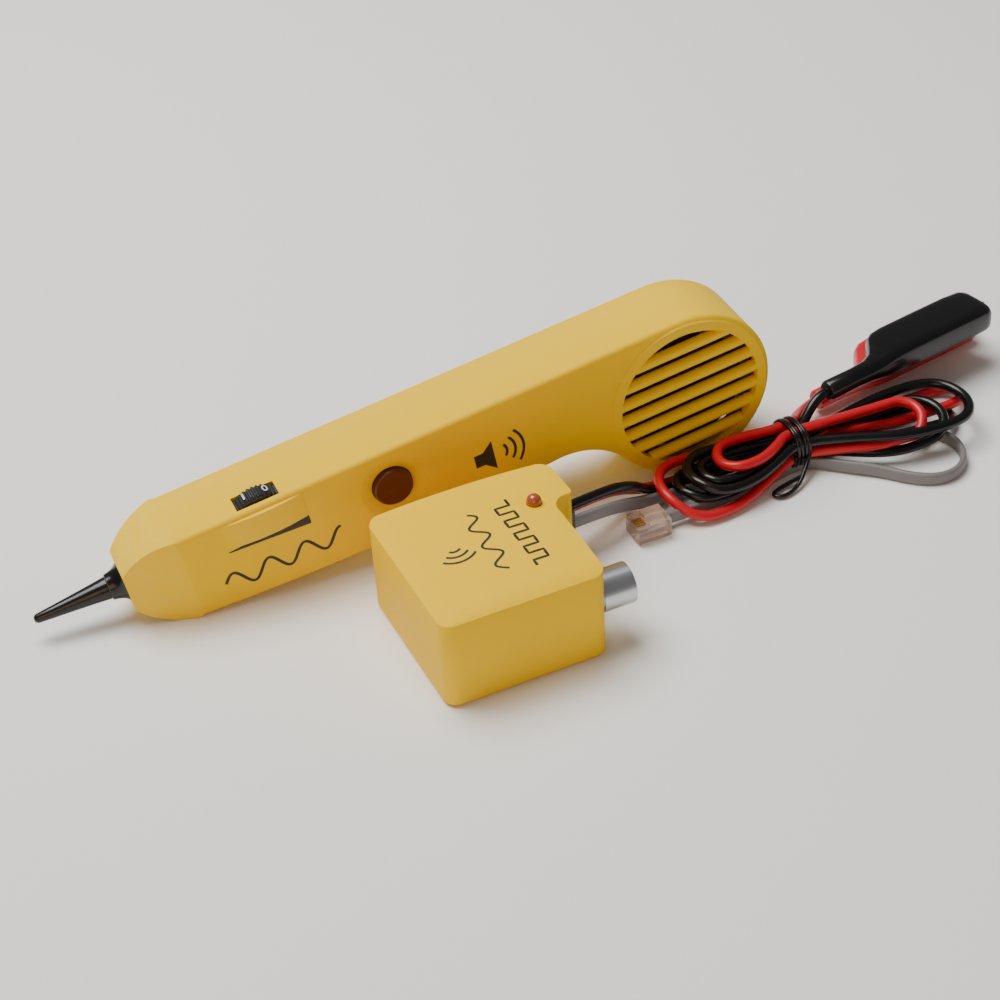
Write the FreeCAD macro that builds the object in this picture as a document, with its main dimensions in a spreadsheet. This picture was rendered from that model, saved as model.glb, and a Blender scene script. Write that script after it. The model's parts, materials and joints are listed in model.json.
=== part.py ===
import FreeCAD, Part
import math
import os
import re
from FreeCAD import Placement, Rotation, Vector

# A tone probe kit: an amplifier probe that stands on its narrow edge, a tone generator, and the
# generator's leads tied in a hank. Millimetres, +Z up, the generator's base on z = 0.

SIZES = {
    # tone generator: +X is the end that the leads and the socket are on
    "gen_length": 63.5, "gen_width": 60.0, "gen_height": 35.3, "gen_wall": 2.2,
    "gen_corner": 4.5, "gen_crown": 380.0,
    "gen_bevel_run": 9.0, "gen_bevel_drop": 2.6,
    "gen_step": 8.25, "gen_nib": 2.0, "gen_step_place": 10.0,
    "base_thick": 2.4, "base_proud": 0.4, "base_gap": 0.2,
    "led_radius": 2.5, "led_gap": 0.1, "led_across": 18.0, "led_along": 10.0,
    "coax_radius": 6.75, "coax_step": 0.55, "coax_wall": 1.1, "coax_out": 11.2, "coax_in": 3.4,
    "coax_back": 9.0, "coax_high": 18.5, "coax_gap": 0.1,
    "pin_radius": 1.2, "coax_plug_depth": 8.0,
    "mode_place": -6.0, "mode_high": 18.5, "mode_tall": 3.6, "mode_wide": 3.6, "mode_travel": 2.2,
    "mode_proud": 2.0, "mode_gap": 0.3,
    "gland_place": 21.0, "gland_high": 16.8, "gland_wide": 13.0, "gland_tall": 11.0,
    "gland_proud": 2.4, "gland_flange": 1.0,
    # shared bought-in parts
    "cell_length": 46.0, "cell_width": 26.2, "cell_thick": 17.3, "stud_height": 2.6, "snap_thick": 2.4,
    "board_thick": 1.6, "board_back": 14.0, "screw_radius": 1.25, "screw_head": 2.6, "head_thick": 1.6,
    "post_radius": 3.1, "rib_thick": 1.2,
    # amplifier probe, in its own axes: x from the tip's end, y from its front face, z up its narrow way
    "probe_thick": 27.0, "probe_wall": 2.2, "probe_edge": 1.6, "probe_top": 16.2,
    "nose_start": 30.5, "nose_half": 7.2, "nose_set_back": 5.6, "shoulder_place": 50.0,
    "belly_place": 112.0, "belly_low": 19.2, "shoulder_low": 16.2, "neck_low": 17.2, "neck_round": 26.0,
    "bulb_place": 228.0, "bulb_radius": 30.6, "cover_thick": 3.0, "lip_high": 2.2, "lip_thick": 1.2,
    "fit_gap": 0.15,
    "grille_radius": 25.5, "grille_rim": 29.2, "grille_proud": 0.6, "ridge_pitch": 6.4,
    "ridge_radius": 2.0, "ridge_sink": 1.3,
    "button_place": 121.6, "button_high": 1.8, "button_radius": 6.75, "button_gap": 0.3,
    "button_proud": 1.3, "button_travel": 1.0, "button_depth": 8.0, "dish_radius": 10.6, "dish_deep": 1.0,
    "wheel_place": 78.9, "wheel_high": 8.1, "wheel_radius": 10.3, "wheel_thick": 6.2, "wheel_back": 2.9,
    "window_gap": 0.6, "hump_rise": 1.5, "hump_half": 14.0, "hump_tall": 9.5,
    "pot_radius": 5.4, "pot_thick": 4.2, "shaft_radius": 1.5,
    "tip_end": 1.65, "tip_base": 3.85, "collar_place": 25.4, "collar_small": 4.5, "collar_large": 6.6,
    "tip_root": 3.2, "tip_tail": 39.0, "needle_radius": 0.8,
    "cell_place": 141.0, "cell_back": 4.4, "door_thick": 1.6, "door_gap": 0.2, "door_ledge": 1.4,
    "speaker_radius": 25.0, "speaker_lip": 1.2, "magnet_radius": 12.0, "magnet_thick": 7.0,
    "speaker_deep": 8.5, "cone_thick": 0.6, "cap_radius": 6.0,
    "probe_back": 50.55, "probe_left": -135.0, "probe_yaw": -1.97,
    # leads
    "wire_radius": 1.8, "flat_radius": 1.8, "tie_width": 7.0, "tie_thick": 1.2,
    "plug_length": 12.2, "plug_width": 9.6, "plug_thick": 6.6, "blade_thick": 0.5, "blade_pitch": 1.02,
    # alligator clips, each lying on its side
    "clip_length": 76.0, "clip_thick": 11.0, "clip_tail": 20.0, "tail_radius": 3.7, "clip_low": 4.2,
    "clip_tall": 13.8, "boot_wall": 1.2, "jaw_half": 3.2, "jaw_sheet": 0.8, "pivot_place": 51.0,
    "pivot_radius": 1.0, "pivot_gap": 0.05, "clip_yaw": 10.2,
}
CORD_ROUTES = {
    "black_lead": [(34.25, 21.5, 19), (49, 23.4, 19.2), (61, 27.2, 14.6), (70, 31, 6.6), (80, 33, 2.4)],
    "red_lead": [(34.25, 24.8, 15.2), (48, 27.6, 15), (60, 32.6, 10), (69, 36.6, 3.8), (82, 36.8, 2.0)],
    "grey_lead": [(34.25, 17.8, 15.2), (46, 18.6, 15), (57, 22.4, 10.8), (66, 26.6, 5.2), (79, 28.4, 2.2)],
    "grey_lead_loop": [
        (140, 12, 3.4), (147, 6.2, 2.9), (153, -1.2, 2.6), (160.5, -6.6, 2.5), (168.8, -6.4, 2.5),
        (175.4, -1.4, 2.5), (178.6, 7.2, 2.8), (176.2, 15.6, 3.2), (168.4, 21.2, 3.6),
    ],
}
HANK_LOBES = [(97.0, 26.2, 27.0, 13.6, 11.5), (160.0, 24.0, 37.5, 16.5, 12.6)]
HANK_WAIST = (112.0, 20.5, 1.4, 26.0, 17.0, 13.4)
TIE_PLACE = 120.5
CLIP_PLACES = {"black": (142.9, 36.5, 18.9), "red": (147.0, 49.6, 5.7)}
PLUG_PLACE = (62.6, 17.4, 3.5)
PROBE_SCREWS = [(57.0, 8.5), (57.0, -8.5), (195.0, 8.0), (195.0, -11.5)]
GENERATOR_SCREWS = [(-25.5, -24.0), (14.5, -24.0), (-25.5, 24.0), (25.5, 24.0)]
SOLE_BEVEL = 1.0
ROOM = 200.0

doc = FreeCAD.newDocument("ToneProbeKit")
sheet = doc.addObject("Spreadsheet::Sheet", "Sizes")
for row, (alias, number) in enumerate(SIZES.items(), 1):
    sheet.set(f"A{row}", alias)
    sheet.set(f"B{row}", str(number))
    sheet.setAlias(f"B{row}", alias)
doc.recompute()
nodes = {}
X, Y, Z = Vector(1, 0, 0), Vector(0, 1, 0), Vector(0, 0, 1)


def size(alias):
    """The number in the sheet's cell of that name."""
    return float(sheet.get(alias))


def formula(text):
    """An expression in which each name of a size points at its cell."""
    return re.sub(r"[a-z_]+", lambda m: f"Sizes.{m.group()}" if m.group() in SIZES else m.group(), text)


def primitive(kind, name, sizes, at, axis=Z):
    """A Part primitive with its sizes and its place tied to the sheet."""
    piece = doc.addObject("Part::" + kind, name)
    piece.Placement = Placement(Vector(), Rotation(Z, axis))
    for prop, text in sizes.items():
        piece.setExpression(prop, formula(text))
    for letter, text in zip("xyz", at):
        piece.setExpression("Placement.Base." + letter, formula(str(text)))
    return piece


def block(name, length, width, height, at):
    return primitive("Box", name, {"Length": length, "Width": width, "Height": height}, at)


def rod(name, radius, length, at, axis=Z):
    return primitive("Cylinder", name, {"Radius": radius, "Height": length}, at, axis)


def taper(name, start, end, length, at, axis=Z):
    return primitive("Cone", name, {"Radius1": start, "Radius2": end, "Height": length}, at, axis)


def joined(name, *pieces):
    """One solid from pieces that touch."""
    if len(pieces) == 1:
        return pieces[0]
    whole = doc.addObject("Part::MultiFuse", name)
    whole.Shapes = list(pieces)
    return whole


def cut(name, base, *tools):
    """The base with every tool taken out of it."""
    rest = doc.addObject("Part::Cut", name)
    rest.Base = base
    rest.Tool = joined(name + "_tools", *tools)
    return rest


def together(name, *pieces):
    """Separate pieces kept as one object, so that it can be placed as one."""
    group = doc.addObject("Part::Compound", name)
    group.Links = list(pieces)
    return group


def feature(name, shape):
    """A document object around a shape made with Part's own functions."""
    piece = doc.addObject("Part::Feature", name)
    piece.Shape = shape
    return piece


def node(label, piece, place=None):
    """Keep a piece as a sub-part of the kit under its own name."""
    if place is not None:
        whole = piece if piece.TypeId == "Part::Feature" else together(label + "_placed", piece)
        whole.Placement = place
        piece = whole
    piece.Label = label
    nodes[label] = piece
    return piece


def corner(before, point, after, radius=None):
    """Start, middle and end of the arc that rounds a corner.

    Without a radius, the arc takes up 0.45 of the shorter run."""
    back, ahead = before - point, after - point
    shorter = min(back.Length, ahead.Length)
    half_turn = (math.pi - back.getAngle(ahead)) / 2
    radius = 0.45 * shorter / math.tan(half_turn) if radius is None else radius
    reach = radius * math.tan(half_turn)
    back.normalize()
    ahead.normalize()
    inward = (back + ahead).normalize()
    middle = point + inward * (radius / math.cos(half_turn) - radius)
    return point + back * reach, middle, point + ahead * reach, radius


def rounded_wire(points, radii):
    """A closed wire with each corner rounded to its own radius; 0 leaves it sharp."""
    places = [Vector(*p) for p in points]
    stops = []
    for i, (point, radius) in enumerate(zip(places, radii)):
        stop = (point, None, point, 0)
        if radius > 0:
            stop = corner(places[i - 1], point, places[(i + 1) % len(places)], radius)
        stops.append(stop)
    edges = []
    for i, (start, middle, end, radius) in enumerate(stops):
        if radius > 0:
            edges.append(Part.Arc(start, middle, end).toShape())
        following = stops[(i + 1) % len(stops)][0]
        if end.distanceToPoint(following) > 1e-6:
            edges.append(Part.LineSegment(end, following).toShape())
    return Part.Wire(edges)


def slab(wire, direction):
    """The solid that a closed wire sweeps along a straight line."""
    return Part.Face(wire).extrude(direction)


def edges_where(shape, test):
    """The edges whose two ends and middle all pass a test."""
    found = []
    for edge in shape.Edges:
        middle = edge.valueAt((edge.FirstParameter + edge.LastParameter) / 2)
        if all(test(p) for p in [middle] + [v.Point for v in edge.Vertexes]):
            found.append(edge)
    return found


# ---------------------------------------------------------------- tone generator


def generator_plan(inset):
    """The generator seen from above: a square with one corner stepped back behind a hollow curve."""
    half_x = size("gen_length") / 2 - inset
    half_y = size("gen_width") / 2 - inset
    step_x = half_x - size("gen_step")
    step_y = size("gen_step_place") + inset
    outer = size("gen_corner") - inset
    nib = max(size("gen_nib") - inset, 0.3)
    hollow = size("gen_step") - nib - 0.4
    points = [(-half_x, -half_y, 0), (step_x, -half_y, 0), (step_x, step_y, 0)]
    points += [(half_x, step_y, 0), (half_x, half_y, 0), (-half_x, half_y, 0)]
    return rounded_wire(points, [outer, outer, hollow, nib, outer, outer])


def generator_crown(drop):
    """The space under the domed lid and its two sloping margins, lowered by a wall's thickness."""
    high = size("gen_height") - drop
    dome = Part.makeSphere(size("gen_crown"), Vector(0, 4, high - size("gen_crown")), Y)
    room = Part.makeBox(ROOM, ROOM, high + 20, Vector(-ROOM / 2, -ROOM / 2, -10)).common(dome)
    half_x = size("gen_length") / 2
    half_y = size("gen_width") / 2
    run, fall = size("gen_bevel_run"), size("gen_bevel_drop")
    front = Part.makePolygon([
        Vector(-ROOM / 2, -half_y + run, high), Vector(-ROOM / 2, -half_y - run, high - 2 * fall),
        Vector(-ROOM / 2, -half_y - run, high + 20), Vector(-ROOM / 2, -half_y + run, high + 20),
        Vector(-ROOM / 2, -half_y + run, high),
    ])
    left = Part.makePolygon([
        Vector(-half_x + run, -ROOM / 2, high), Vector(-half_x - run, -ROOM / 2, high - 2 * fall),
        Vector(-half_x - run, -ROOM / 2, high + 20), Vector(-half_x + run, -ROOM / 2, high + 20),
        Vector(-half_x + run, -ROOM / 2, high),
    ])
    return room.cut(slab(front, X * ROOM)).cut(slab(left, Y * ROOM))


def generator_top_shell():
    """The box that is open below, with its screw posts and the holes for lamp, socket, slider and gland."""
    high, wall = size("gen_height"), size("gen_wall")
    foot = size("base_proud")
    body = slab(generator_plan(0), Z * (high + 5)).common(generator_crown(0))
    body = body.cut(Part.makeBox(ROOM, ROOM, foot, Vector(-ROOM / 2, -ROOM / 2, 0)))
    sole = edges_where(body, lambda p: p.z < foot + 0.01)
    body = body.makeChamfer(SOLE_BEVEL, sole)
    hollow = slab(generator_plan(wall), Z * (high + 5)).common(generator_crown(wall))
    body = body.cut(hollow)
    post_foot = size("base_thick") + size("base_gap")
    rib = size("rib_thick")
    for x, y in GENERATOR_SCREWS:
        tall = high - wall - 4
        post = Part.makeCylinder(size("post_radius"), tall, Vector(x, y, post_foot))
        rib_start = y if y > 0 else y - 2 * wall
        post = post.fuse(Part.makeBox(rib, 2 * wall, tall, Vector(x - rib / 2, rib_start, post_foot)))
        post = post.common(slab(generator_plan(wall / 2), Z * high)).common(generator_crown(wall / 2))
        body = body.fuse(post)
        body = body.cut(Part.makeCylinder(size("screw_radius"), 12, Vector(x, y, 0)))
    step_x = size("gen_length") / 2 - size("gen_step")
    socket_y = -size("gen_width") / 2 + size("coax_back")
    lamp_at = Vector(size("led_across"), size("led_along"), high - 10)
    lamp = Part.makeCylinder(size("led_radius") + size("led_gap"), 20, lamp_at)
    socket_at = Vector(step_x - 4, socket_y, size("coax_high"))
    socket = Part.makeCylinder(size("coax_radius") - size("coax_step") + size("coax_gap"), 8, socket_at, X)
    slot_tall = size("mode_tall") + 2 * size("mode_travel") + 2 * size("mode_gap")
    slot_wide = size("mode_wide") + 2 * size("mode_gap")
    slot = Part.makeBox(8, slot_wide, slot_tall, Vector(
        step_x - 4, size("mode_place") - slot_wide / 2, size("mode_high") - slot_tall / 2))
    gland_wide = size("gland_wide") - 2 * size("gland_flange")
    gland_tall = size("gland_tall") - 2 * size("gland_flange")
    gland_foot = size("gland_high") - gland_tall / 2
    gland = Part.makeBox(8, gland_wide, gland_tall, Vector(
        size("gen_length") / 2 - 4, size("gland_place") - gland_wide / 2, gland_foot))
    return body.cut(lamp).cut(socket).cut(slot).cut(gland).removeSplitter()


def generator_base():
    """The cover that closes the box from below, inside its walls, and is what it stands on."""
    wall = size("gen_wall") + size("base_gap")
    plate = slab(generator_plan(wall), Z * size("base_thick"))
    for x, y in GENERATOR_SCREWS:
        plate = plate.cut(Part.makeCylinder(size("screw_radius") + 0.2, 10, Vector(x, y, -1)))
        sink = size("head_thick") + 0.4
        plate = plate.cut(Part.makeCylinder(size("screw_head") + 0.2, sink, Vector(x, y, 0)))
    return plate


def nine_volt(prefix, corner_at, deep, tall, place=None):
    """A 9 V block battery with its two studs facing -X, and the snap cap that sits on them.

    deep and tall name its two cross sizes, along Y and along Z; the studs stand along the wider one."""
    x, y, z = corner_at
    case = block(prefix + "_case", "cell_length", deep, tall, (x, y, z))
    studs = []
    for i, share in enumerate((0.26, 0.74)):
        stud_y = f"{y} + {deep} * {share if deep == 'cell_width' else 0.5}"
        stud_z = f"{z} + {tall} * {share if tall == 'cell_width' else 0.5}"
        stud_at = (f"{x} - stud_height", stud_y, stud_z)
        studs.append(rod(f"{prefix}_stud{i}", "2.9", "stud_height", stud_at, X))
    node(prefix + "_battery", joined(prefix + "_cell", case, *studs), place)
    cap = block(prefix + "_cap", "snap_thick", f"{deep} - 3", f"{tall} - 3",
                (f"{x} - stud_height - snap_thick", f"{y} + 1.5", f"{z} + 1.5"))
    node(prefix + "_battery_snap", cap, place)


def generator_inside():
    """The battery along Y beside the posts, the board above it and the lamp that stands on the board."""
    quarter = Placement(Vector(), Rotation(Z, 90))
    nine_volt("generator", ("-20.5", "-4.3", "base_thick + 0.4"), "cell_width", "cell_thick", quarter)
    board_at = ("-gen_length / 2 + gen_wall + 1.5", "-gen_width / 2 + gen_wall + 1", "24.2")
    board = block("gen_board_plate", "gen_length - gen_step - 2 * gen_wall - 3",
                  "gen_width - 2 * gen_wall - 2", "board_thick", board_at)
    posts = [rod(f"gen_board_hole{i}", "post_radius + 0.4", "6", (x, y, 22))
             for i, (x, y) in enumerate(GENERATOR_SCREWS)]
    node("generator_circuit_board", cut("gen_board", board, *posts))
    lens = rod("led_barrel", "led_radius", "gen_height + 0.3 - 27.5", ("led_across", "led_along", "27.5"))
    collar = rod("led_foot", "led_radius + 0.5", "1", ("led_across", "led_along", "27.5"))
    dome_at = ("led_across", "led_along", "gen_height + 0.3")
    dome = primitive("Sphere", "led_dome", {"Radius": "led_radius"}, dome_at)
    legs = []
    for i, side in enumerate((-1.27, 1.27)):
        leg_at = (f"led_across - 0.25 + {side}", "led_along - 0.25", "25.8")
        legs.append(block(f"led_leg{i}", "0.5", "0.5", "1.7", leg_at))
    node("led_lens", joined("led", lens, collar, dome, *legs))


def coax_socket():
    """The satin sleeve, its insulator and the centre contact, all along +X from the stepped-back wall.

    A neck goes through the wall, and the sleeve outside it has a plug's shell slid over it."""
    wall_x = "gen_length / 2 - gen_step"
    y, z = "-gen_width / 2 + coax_back", "coax_high"
    tube = rod("coax_tube", "coax_radius", "coax_out - coax_gap", (f"{wall_x} + coax_gap", y, z), X)
    neck_rod = rod("coax_neck_rod", "coax_radius - coax_step", "coax_in + 1",
                   (f"{wall_x} - coax_in", y, z), X)
    bore = rod("coax_bore", "coax_radius - coax_wall", "coax_out + coax_in + 2",
               (f"{wall_x} - coax_in - 1", y, z), X)
    node("coax_sleeve", cut("coax_shell", joined("coax_body", tube, neck_rod), bore))
    plug = rod("coax_filler", "coax_radius - coax_wall", "coax_out + coax_in - coax_plug_depth",
               (f"{wall_x} - coax_in", y, z), X)
    centre = rod("coax_centre_hole", "pin_radius", "30", (f"{wall_x} - 10", y, z), X)
    node("coax_insulator", cut("coax_disc", plug, centre))
    node("coax_contact", rod("coax_pin", "pin_radius", "coax_out + coax_in + 1",
                             (f"{wall_x} - coax_in - 2", y, z), X))


def mode_switch():
    """A slide switch behind the stepped-back wall; its slider stands through the wall and runs up
    and down."""
    inner = "gen_length / 2 - gen_step - gen_wall"
    case = block("mode_case", "5", "mode_wide + 5", "mode_tall + 2 * mode_travel + 3",
                 (f"{inner} - 6.2", "mode_place - mode_wide / 2 - 2.5",
                  "mode_high - mode_tall / 2 - mode_travel - 1.5"))
    track = block("mode_track", "3", "mode_wide + 2 * mode_gap", "mode_tall + 2 * mode_travel + 2 * mode_gap",
                  (f"{inner} - 3.2", "mode_place - mode_wide / 2 - mode_gap",
                   "mode_high - mode_tall / 2 - mode_travel - mode_gap"))
    node("mode_switch_body", cut("mode_body", case, track))
    knob = block("mode_knob", "gen_wall + 2.8 + mode_proud", "mode_wide", "mode_tall",
                 (f"{inner} - 2.8", "mode_place - mode_wide / 2", "mode_high - mode_tall / 2"))
    node("mode_switch_slider", knob)


def cable_gland():
    """The soft gland in the end wall: a waist in the wall's hole and a rounded flange outside it."""
    face = "gen_length / 2"
    waist = block("gland_waist", "gen_wall + 1.6", "gland_wide - 2 * gland_flange",
                  "gland_tall - 2 * gland_flange",
                  (f"{face} - gen_wall - 1.5", "gland_place - gland_wide / 2 + gland_flange",
                   "gland_high - gland_tall / 2 + gland_flange"))
    front = block("gland_front", "gland_proud", "gland_wide", "gland_tall",
                  (f"{face} + 0.05", "gland_place - gland_wide / 2", "gland_high - gland_tall / 2"))
    node("cable_gland", joined("gland", waist, front))


def generator_fixings():
    screws = []
    for i, (x, y) in enumerate(GENERATOR_SCREWS):
        head = rod(f"gen_screw_head{i}", "screw_head", "head_thick", (x, y, "0.3"))
        shank = rod(f"gen_screw_shank{i}", "screw_radius", "8", (x, y, "0.3 + head_thick"))
        screws.append(joined(f"gen_screw{i}", head, shank))
    node("generator_screws", together("gen_screws", *screws))


# ---------------------------------------------------------------- amplifier probe


def bulb_centre():
    """The round end's centre, level with the handle's top edge at its crown."""
    return Vector(size("bulb_place"), 0, size("probe_top") - size("bulb_radius"))


def neck():
    """The hollow curve under the neck: where it leaves the lower edge, its middle, and where it meets
    the round end."""
    centre, reach, hollow = bulb_centre(), size("bulb_radius"), size("neck_round")
    angle = math.asin((centre.z + size("neck_low") + hollow) / (reach + hollow))
    away = Vector(-math.cos(angle), 0, -math.sin(angle))
    origin = centre + away * (reach + hollow)
    start = Vector(origin.x, 0, -size("neck_low"))
    end = centre + away * reach
    middle = origin + ((start - origin) + (end - origin)).normalize() * hollow
    return start, middle, end


def probe_outline():
    """The probe seen from its front: nose, straight top edge, round end, neck and a slightly full
    lower edge."""
    nose, half, shoulder = size("nose_start"), size("nose_half"), size("shoulder_place")
    top, low = size("probe_top"), size("shoulder_low")
    centre, reach = bulb_centre(), size("bulb_radius")
    start, middle, end = neck()
    high_nose, low_nose = Vector(nose, 0, half), Vector(nose, 0, -half)
    high_shoulder, low_shoulder = Vector(shoulder, 0, top), Vector(shoulder, 0, -low)
    bulge = Vector(nose + 0.36 * (shoulder - nose), 0, 0)
    crown = Vector(centre.x, 0, top)
    belly = Vector(size("belly_place"), 0, -size("belly_low"))
    edges = [
        Part.Arc(high_nose, bulge + Z * (half + 0.66 * (top - half)), high_shoulder),
        Part.LineSegment(high_shoulder, crown),
        Part.Arc(crown, centre + X * reach, centre - Z * reach),
        Part.Arc(centre - Z * reach, centre + Vector(-0.52, 0, -0.854).normalize() * reach, end),
        Part.Arc(end, middle, start),
        Part.Arc(start, belly, low_shoulder),
        Part.Arc(low_shoulder, bulge - Z * (half + 0.66 * (low - half)), low_nose),
        Part.LineSegment(low_nose, high_nose),
    ]
    return Part.Wire([e.toShape() for e in edges])


def probe_block(inset):
    """The probe's outer form, or the room inside it when inset by a wall, before it is parted."""
    wire = probe_outline()
    if inset:
        wire = wire.makeOffset2D(-inset)
    thick, back = size("probe_thick"), size("nose_set_back")
    solid = slab(wire, Y * thick)
    nose, shoulder, far = size("nose_start") - 5, size("shoulder_place"), 300
    slope = back / (shoulder - size("nose_start"))
    at_nose = slope * (shoulder - nose)
    side = [(nose, at_nose + inset), (shoulder, inset), (far, inset)]
    side += [(far, thick - inset), (shoulder, thick - inset), (nose, thick - at_nose - inset)]
    ring = [Vector(x, y, -100) for x, y in side]
    return solid.common(slab(Part.makePolygon(ring + ring[:1]), Z * 200))


def probe_shell_outside():
    thick = size("probe_thick")
    body = probe_block(0)
    rim = edges_where(body, lambda p: p.x > size("nose_start") + 0.1 and (p.y < 1e-3 or p.y > thick - 1e-3))
    return body.makeFillet(size("probe_edge"), rim)


def layer(start, end):
    """A slice of the probe's thickness, wider than the probe."""
    return Part.makeBox(400, end - start, 200, Vector(-50, start, -100))


def grille_ridges():
    """The bars across the round opening, one for each gap between two slots."""
    centre, radius, pitch = bulb_centre(), size("grille_radius"), size("ridge_pitch")
    count = int(radius / pitch)
    bars = []
    for k in range(-count, count + 1):
        if abs(k * pitch) > radius - size("ridge_radius") - 2:
            continue
        half = math.sqrt(radius ** 2 - (k * pitch) ** 2) + 1.0
        start = Vector(centre.x - half, size("ridge_sink"), centre.z + k * pitch)
        bars.append(Part.makeCylinder(size("ridge_radius"), 2 * half, start, X))
    return bars


def probe_front_shell():
    thick, wall = size("probe_thick"), size("probe_wall")
    part_line = thick - size("cover_thick")
    centre = bulb_centre()
    body = probe_shell_outside().common(layer(-5, part_line))
    rim_at = Vector(centre.x, -size("grille_proud"), centre.z)
    disc = Part.makeCylinder(size("grille_rim"), size("grille_proud") + 1, rim_at, Y)
    rim = edges_where(disc, lambda p: p.y < 0)
    body = body.fuse(disc.makeChamfer(0.5, rim))
    # a low hump in the front wall makes room beside the wheel
    wheel_x, top = size("wheel_place"), size("probe_top")
    rise, half, tall = size("hump_rise"), size("hump_half"), size("hump_tall")
    bow = (half ** 2 + rise ** 2) / (2 * rise)
    hump = Part.makeCylinder(bow, tall, Vector(wheel_x, bow - rise, top - size("probe_edge") - tall), Z)
    hump = hump.common(Part.makeBox(4 * half, 2 + rise, 60, Vector(wheel_x - 2 * half, -rise, -30)))
    body = body.fuse(hump)
    body = body.cut(probe_block(wall).common(layer(-5, part_line + 1)))
    # grille
    opening = Part.makeCylinder(size("grille_radius"), 10, Vector(centre.x, -5, centre.z), Y)
    body = body.cut(opening)
    body = body.fuse(grille_ridges())
    # screw posts
    for x, z in PROBE_SCREWS:
        body = body.fuse(Part.makeCylinder(size("post_radius"), part_line - wall, Vector(x, wall - 1, z), Y))
        body = body.cut(Part.makeCylinder(size("screw_radius"), 12, Vector(x, part_line - 12, z), Y))
    # button hole in its dish
    at = Vector(size("button_place"), 0, size("button_high"))
    hole = size("button_radius") + size("button_gap")
    body = body.cut(Part.makeCone(size("dish_radius") + 1, hole, size("dish_deep") * 1.2, at - Y * 0.1, Y))
    body = body.cut(Part.makeCylinder(hole, wall + 4, at - Y * 2, Y))
    # wheel window in the top edge
    gap = size("window_gap")
    chord = math.sqrt(size("wheel_radius") ** 2 - (top - size("wheel_high")) ** 2) + gap
    window = Part.makeBox(2 * chord, size("wheel_thick") + 2 * gap, 12, Vector(
        wheel_x - chord, size("wheel_back") - gap, top - wall - 2))
    room = Part.makeCylinder(size("wheel_radius") + gap, size("wheel_thick") + 2 * gap, Vector(
        wheel_x, size("wheel_back") - gap, size("wheel_high")), Y)
    body = body.cut(window).cut(room)
    socket_at = Vector(size("nose_start") - 10, thick / 2, 0)
    body = body.cut(Part.makeCylinder(size("tip_root") + 0.02, 30, socket_at, X))
    return body.removeSplitter()


def door_ring(grow, start, end):
    """The battery door's rounded outline, grown by a margin, over a range of the thickness."""
    x0 = size("cell_place") - 6 - grow
    x1 = size("cell_place") + size("cell_length") + 1 + grow
    half = size("cell_width") / 2 - 1.5 + grow
    middle = (size("probe_top") - size("belly_low")) / 2 + 0.4
    points = [(x0, start, middle - half), (x1, start, middle - half)]
    points += [(x1, start, middle + half), (x0, start, middle + half)]
    return slab(rounded_wire(points, [2.5 + grow] * 4), Y * (end - start))


def probe_back_cover():
    thick, wall, cover = size("probe_thick"), size("probe_wall"), size("cover_thick")
    part_line = thick - cover
    gap = size("fit_gap")
    body = probe_shell_outside().common(layer(part_line, thick + 5))
    lip = probe_block(wall + gap).common(layer(part_line - size("lip_high"), part_line + 0.5))
    lip = lip.cut(probe_block(wall + gap + size("lip_thick")).common(layer(0, thick + 5)))
    body = body.fuse(lip)
    for x, z in PROBE_SCREWS:
        lip_foot = Vector(x, part_line - size("lip_high") - 1, z)
        body = body.cut(Part.makeCylinder(size("post_radius") + 0.2, size("lip_high") + 1, lip_foot, Y))
        shank_at = Vector(x, part_line - 2, z)
        body = body.cut(Part.makeCylinder(size("screw_radius") + 0.2, cover + 4, shank_at, Y))
        head_at = Vector(x, thick - size("head_thick"), z)
        body = body.cut(Part.makeCylinder(size("screw_head") + 0.2, 5, head_at, Y))
    gap_door, ledge = size("door_gap"), size("door_ledge")
    body = body.cut(door_ring(gap_door, thick - size("door_thick") - gap_door, thick + 5))
    body = body.cut(door_ring(-ledge, part_line - 5, thick + 5))
    return body.removeSplitter()


def probe_battery_door():
    """The door lies in the back cover's recess and has a coin slot to lift it by."""
    thick = size("probe_thick")
    plate = door_ring(0, thick - size("door_thick"), thick)
    bed_grow = -size("door_ledge") - size("door_gap")
    bed = door_ring(bed_grow, thick - size("cover_thick") + 0.3, thick - size("door_thick"))
    slot_x = size("cell_place") + size("cell_length") - 4
    slot = Part.makeBox(2.4, 0.8, 12, Vector(slot_x, thick - 0.8, -7.5))
    return plate.fuse(bed).cut(slot).removeSplitter()


def probe_tip_parts(place):
    y = "probe_thick / 2"
    point = primitive("Sphere", "tip_ball", {"Radius": "tip_end"}, ("tip_end", y, "0"))
    shaft = taper("tip_shaft", "tip_end", "tip_base", "collar_place - tip_end", ("tip_end", y, "0"), X)
    root = rod("tip_shank", "tip_root", "tip_tail - collar_place", ("collar_place", y, "0"), X)
    core = rod("tip_core", "needle_radius", "60", ("8", y, "0"), X)
    node("probe_tip", cut("tip", joined("tip_solid", point, shaft, root), core), place)
    node("tip_contact", rod("needle", "needle_radius", "tip_tail - 8 + 6", ("8", y, "0"), X), place)
    bell_long = "nose_start - 0.02 - collar_place"
    bell = taper("collar_bell", "collar_small", "collar_large", bell_long, ("collar_place", y, "0"), X)
    bore = rod("collar_bore", "tip_root + 0.02", "20", ("collar_place - 5", y, "0"), X)
    node("tip_collar", cut("collar", bell, bore), place)


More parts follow.
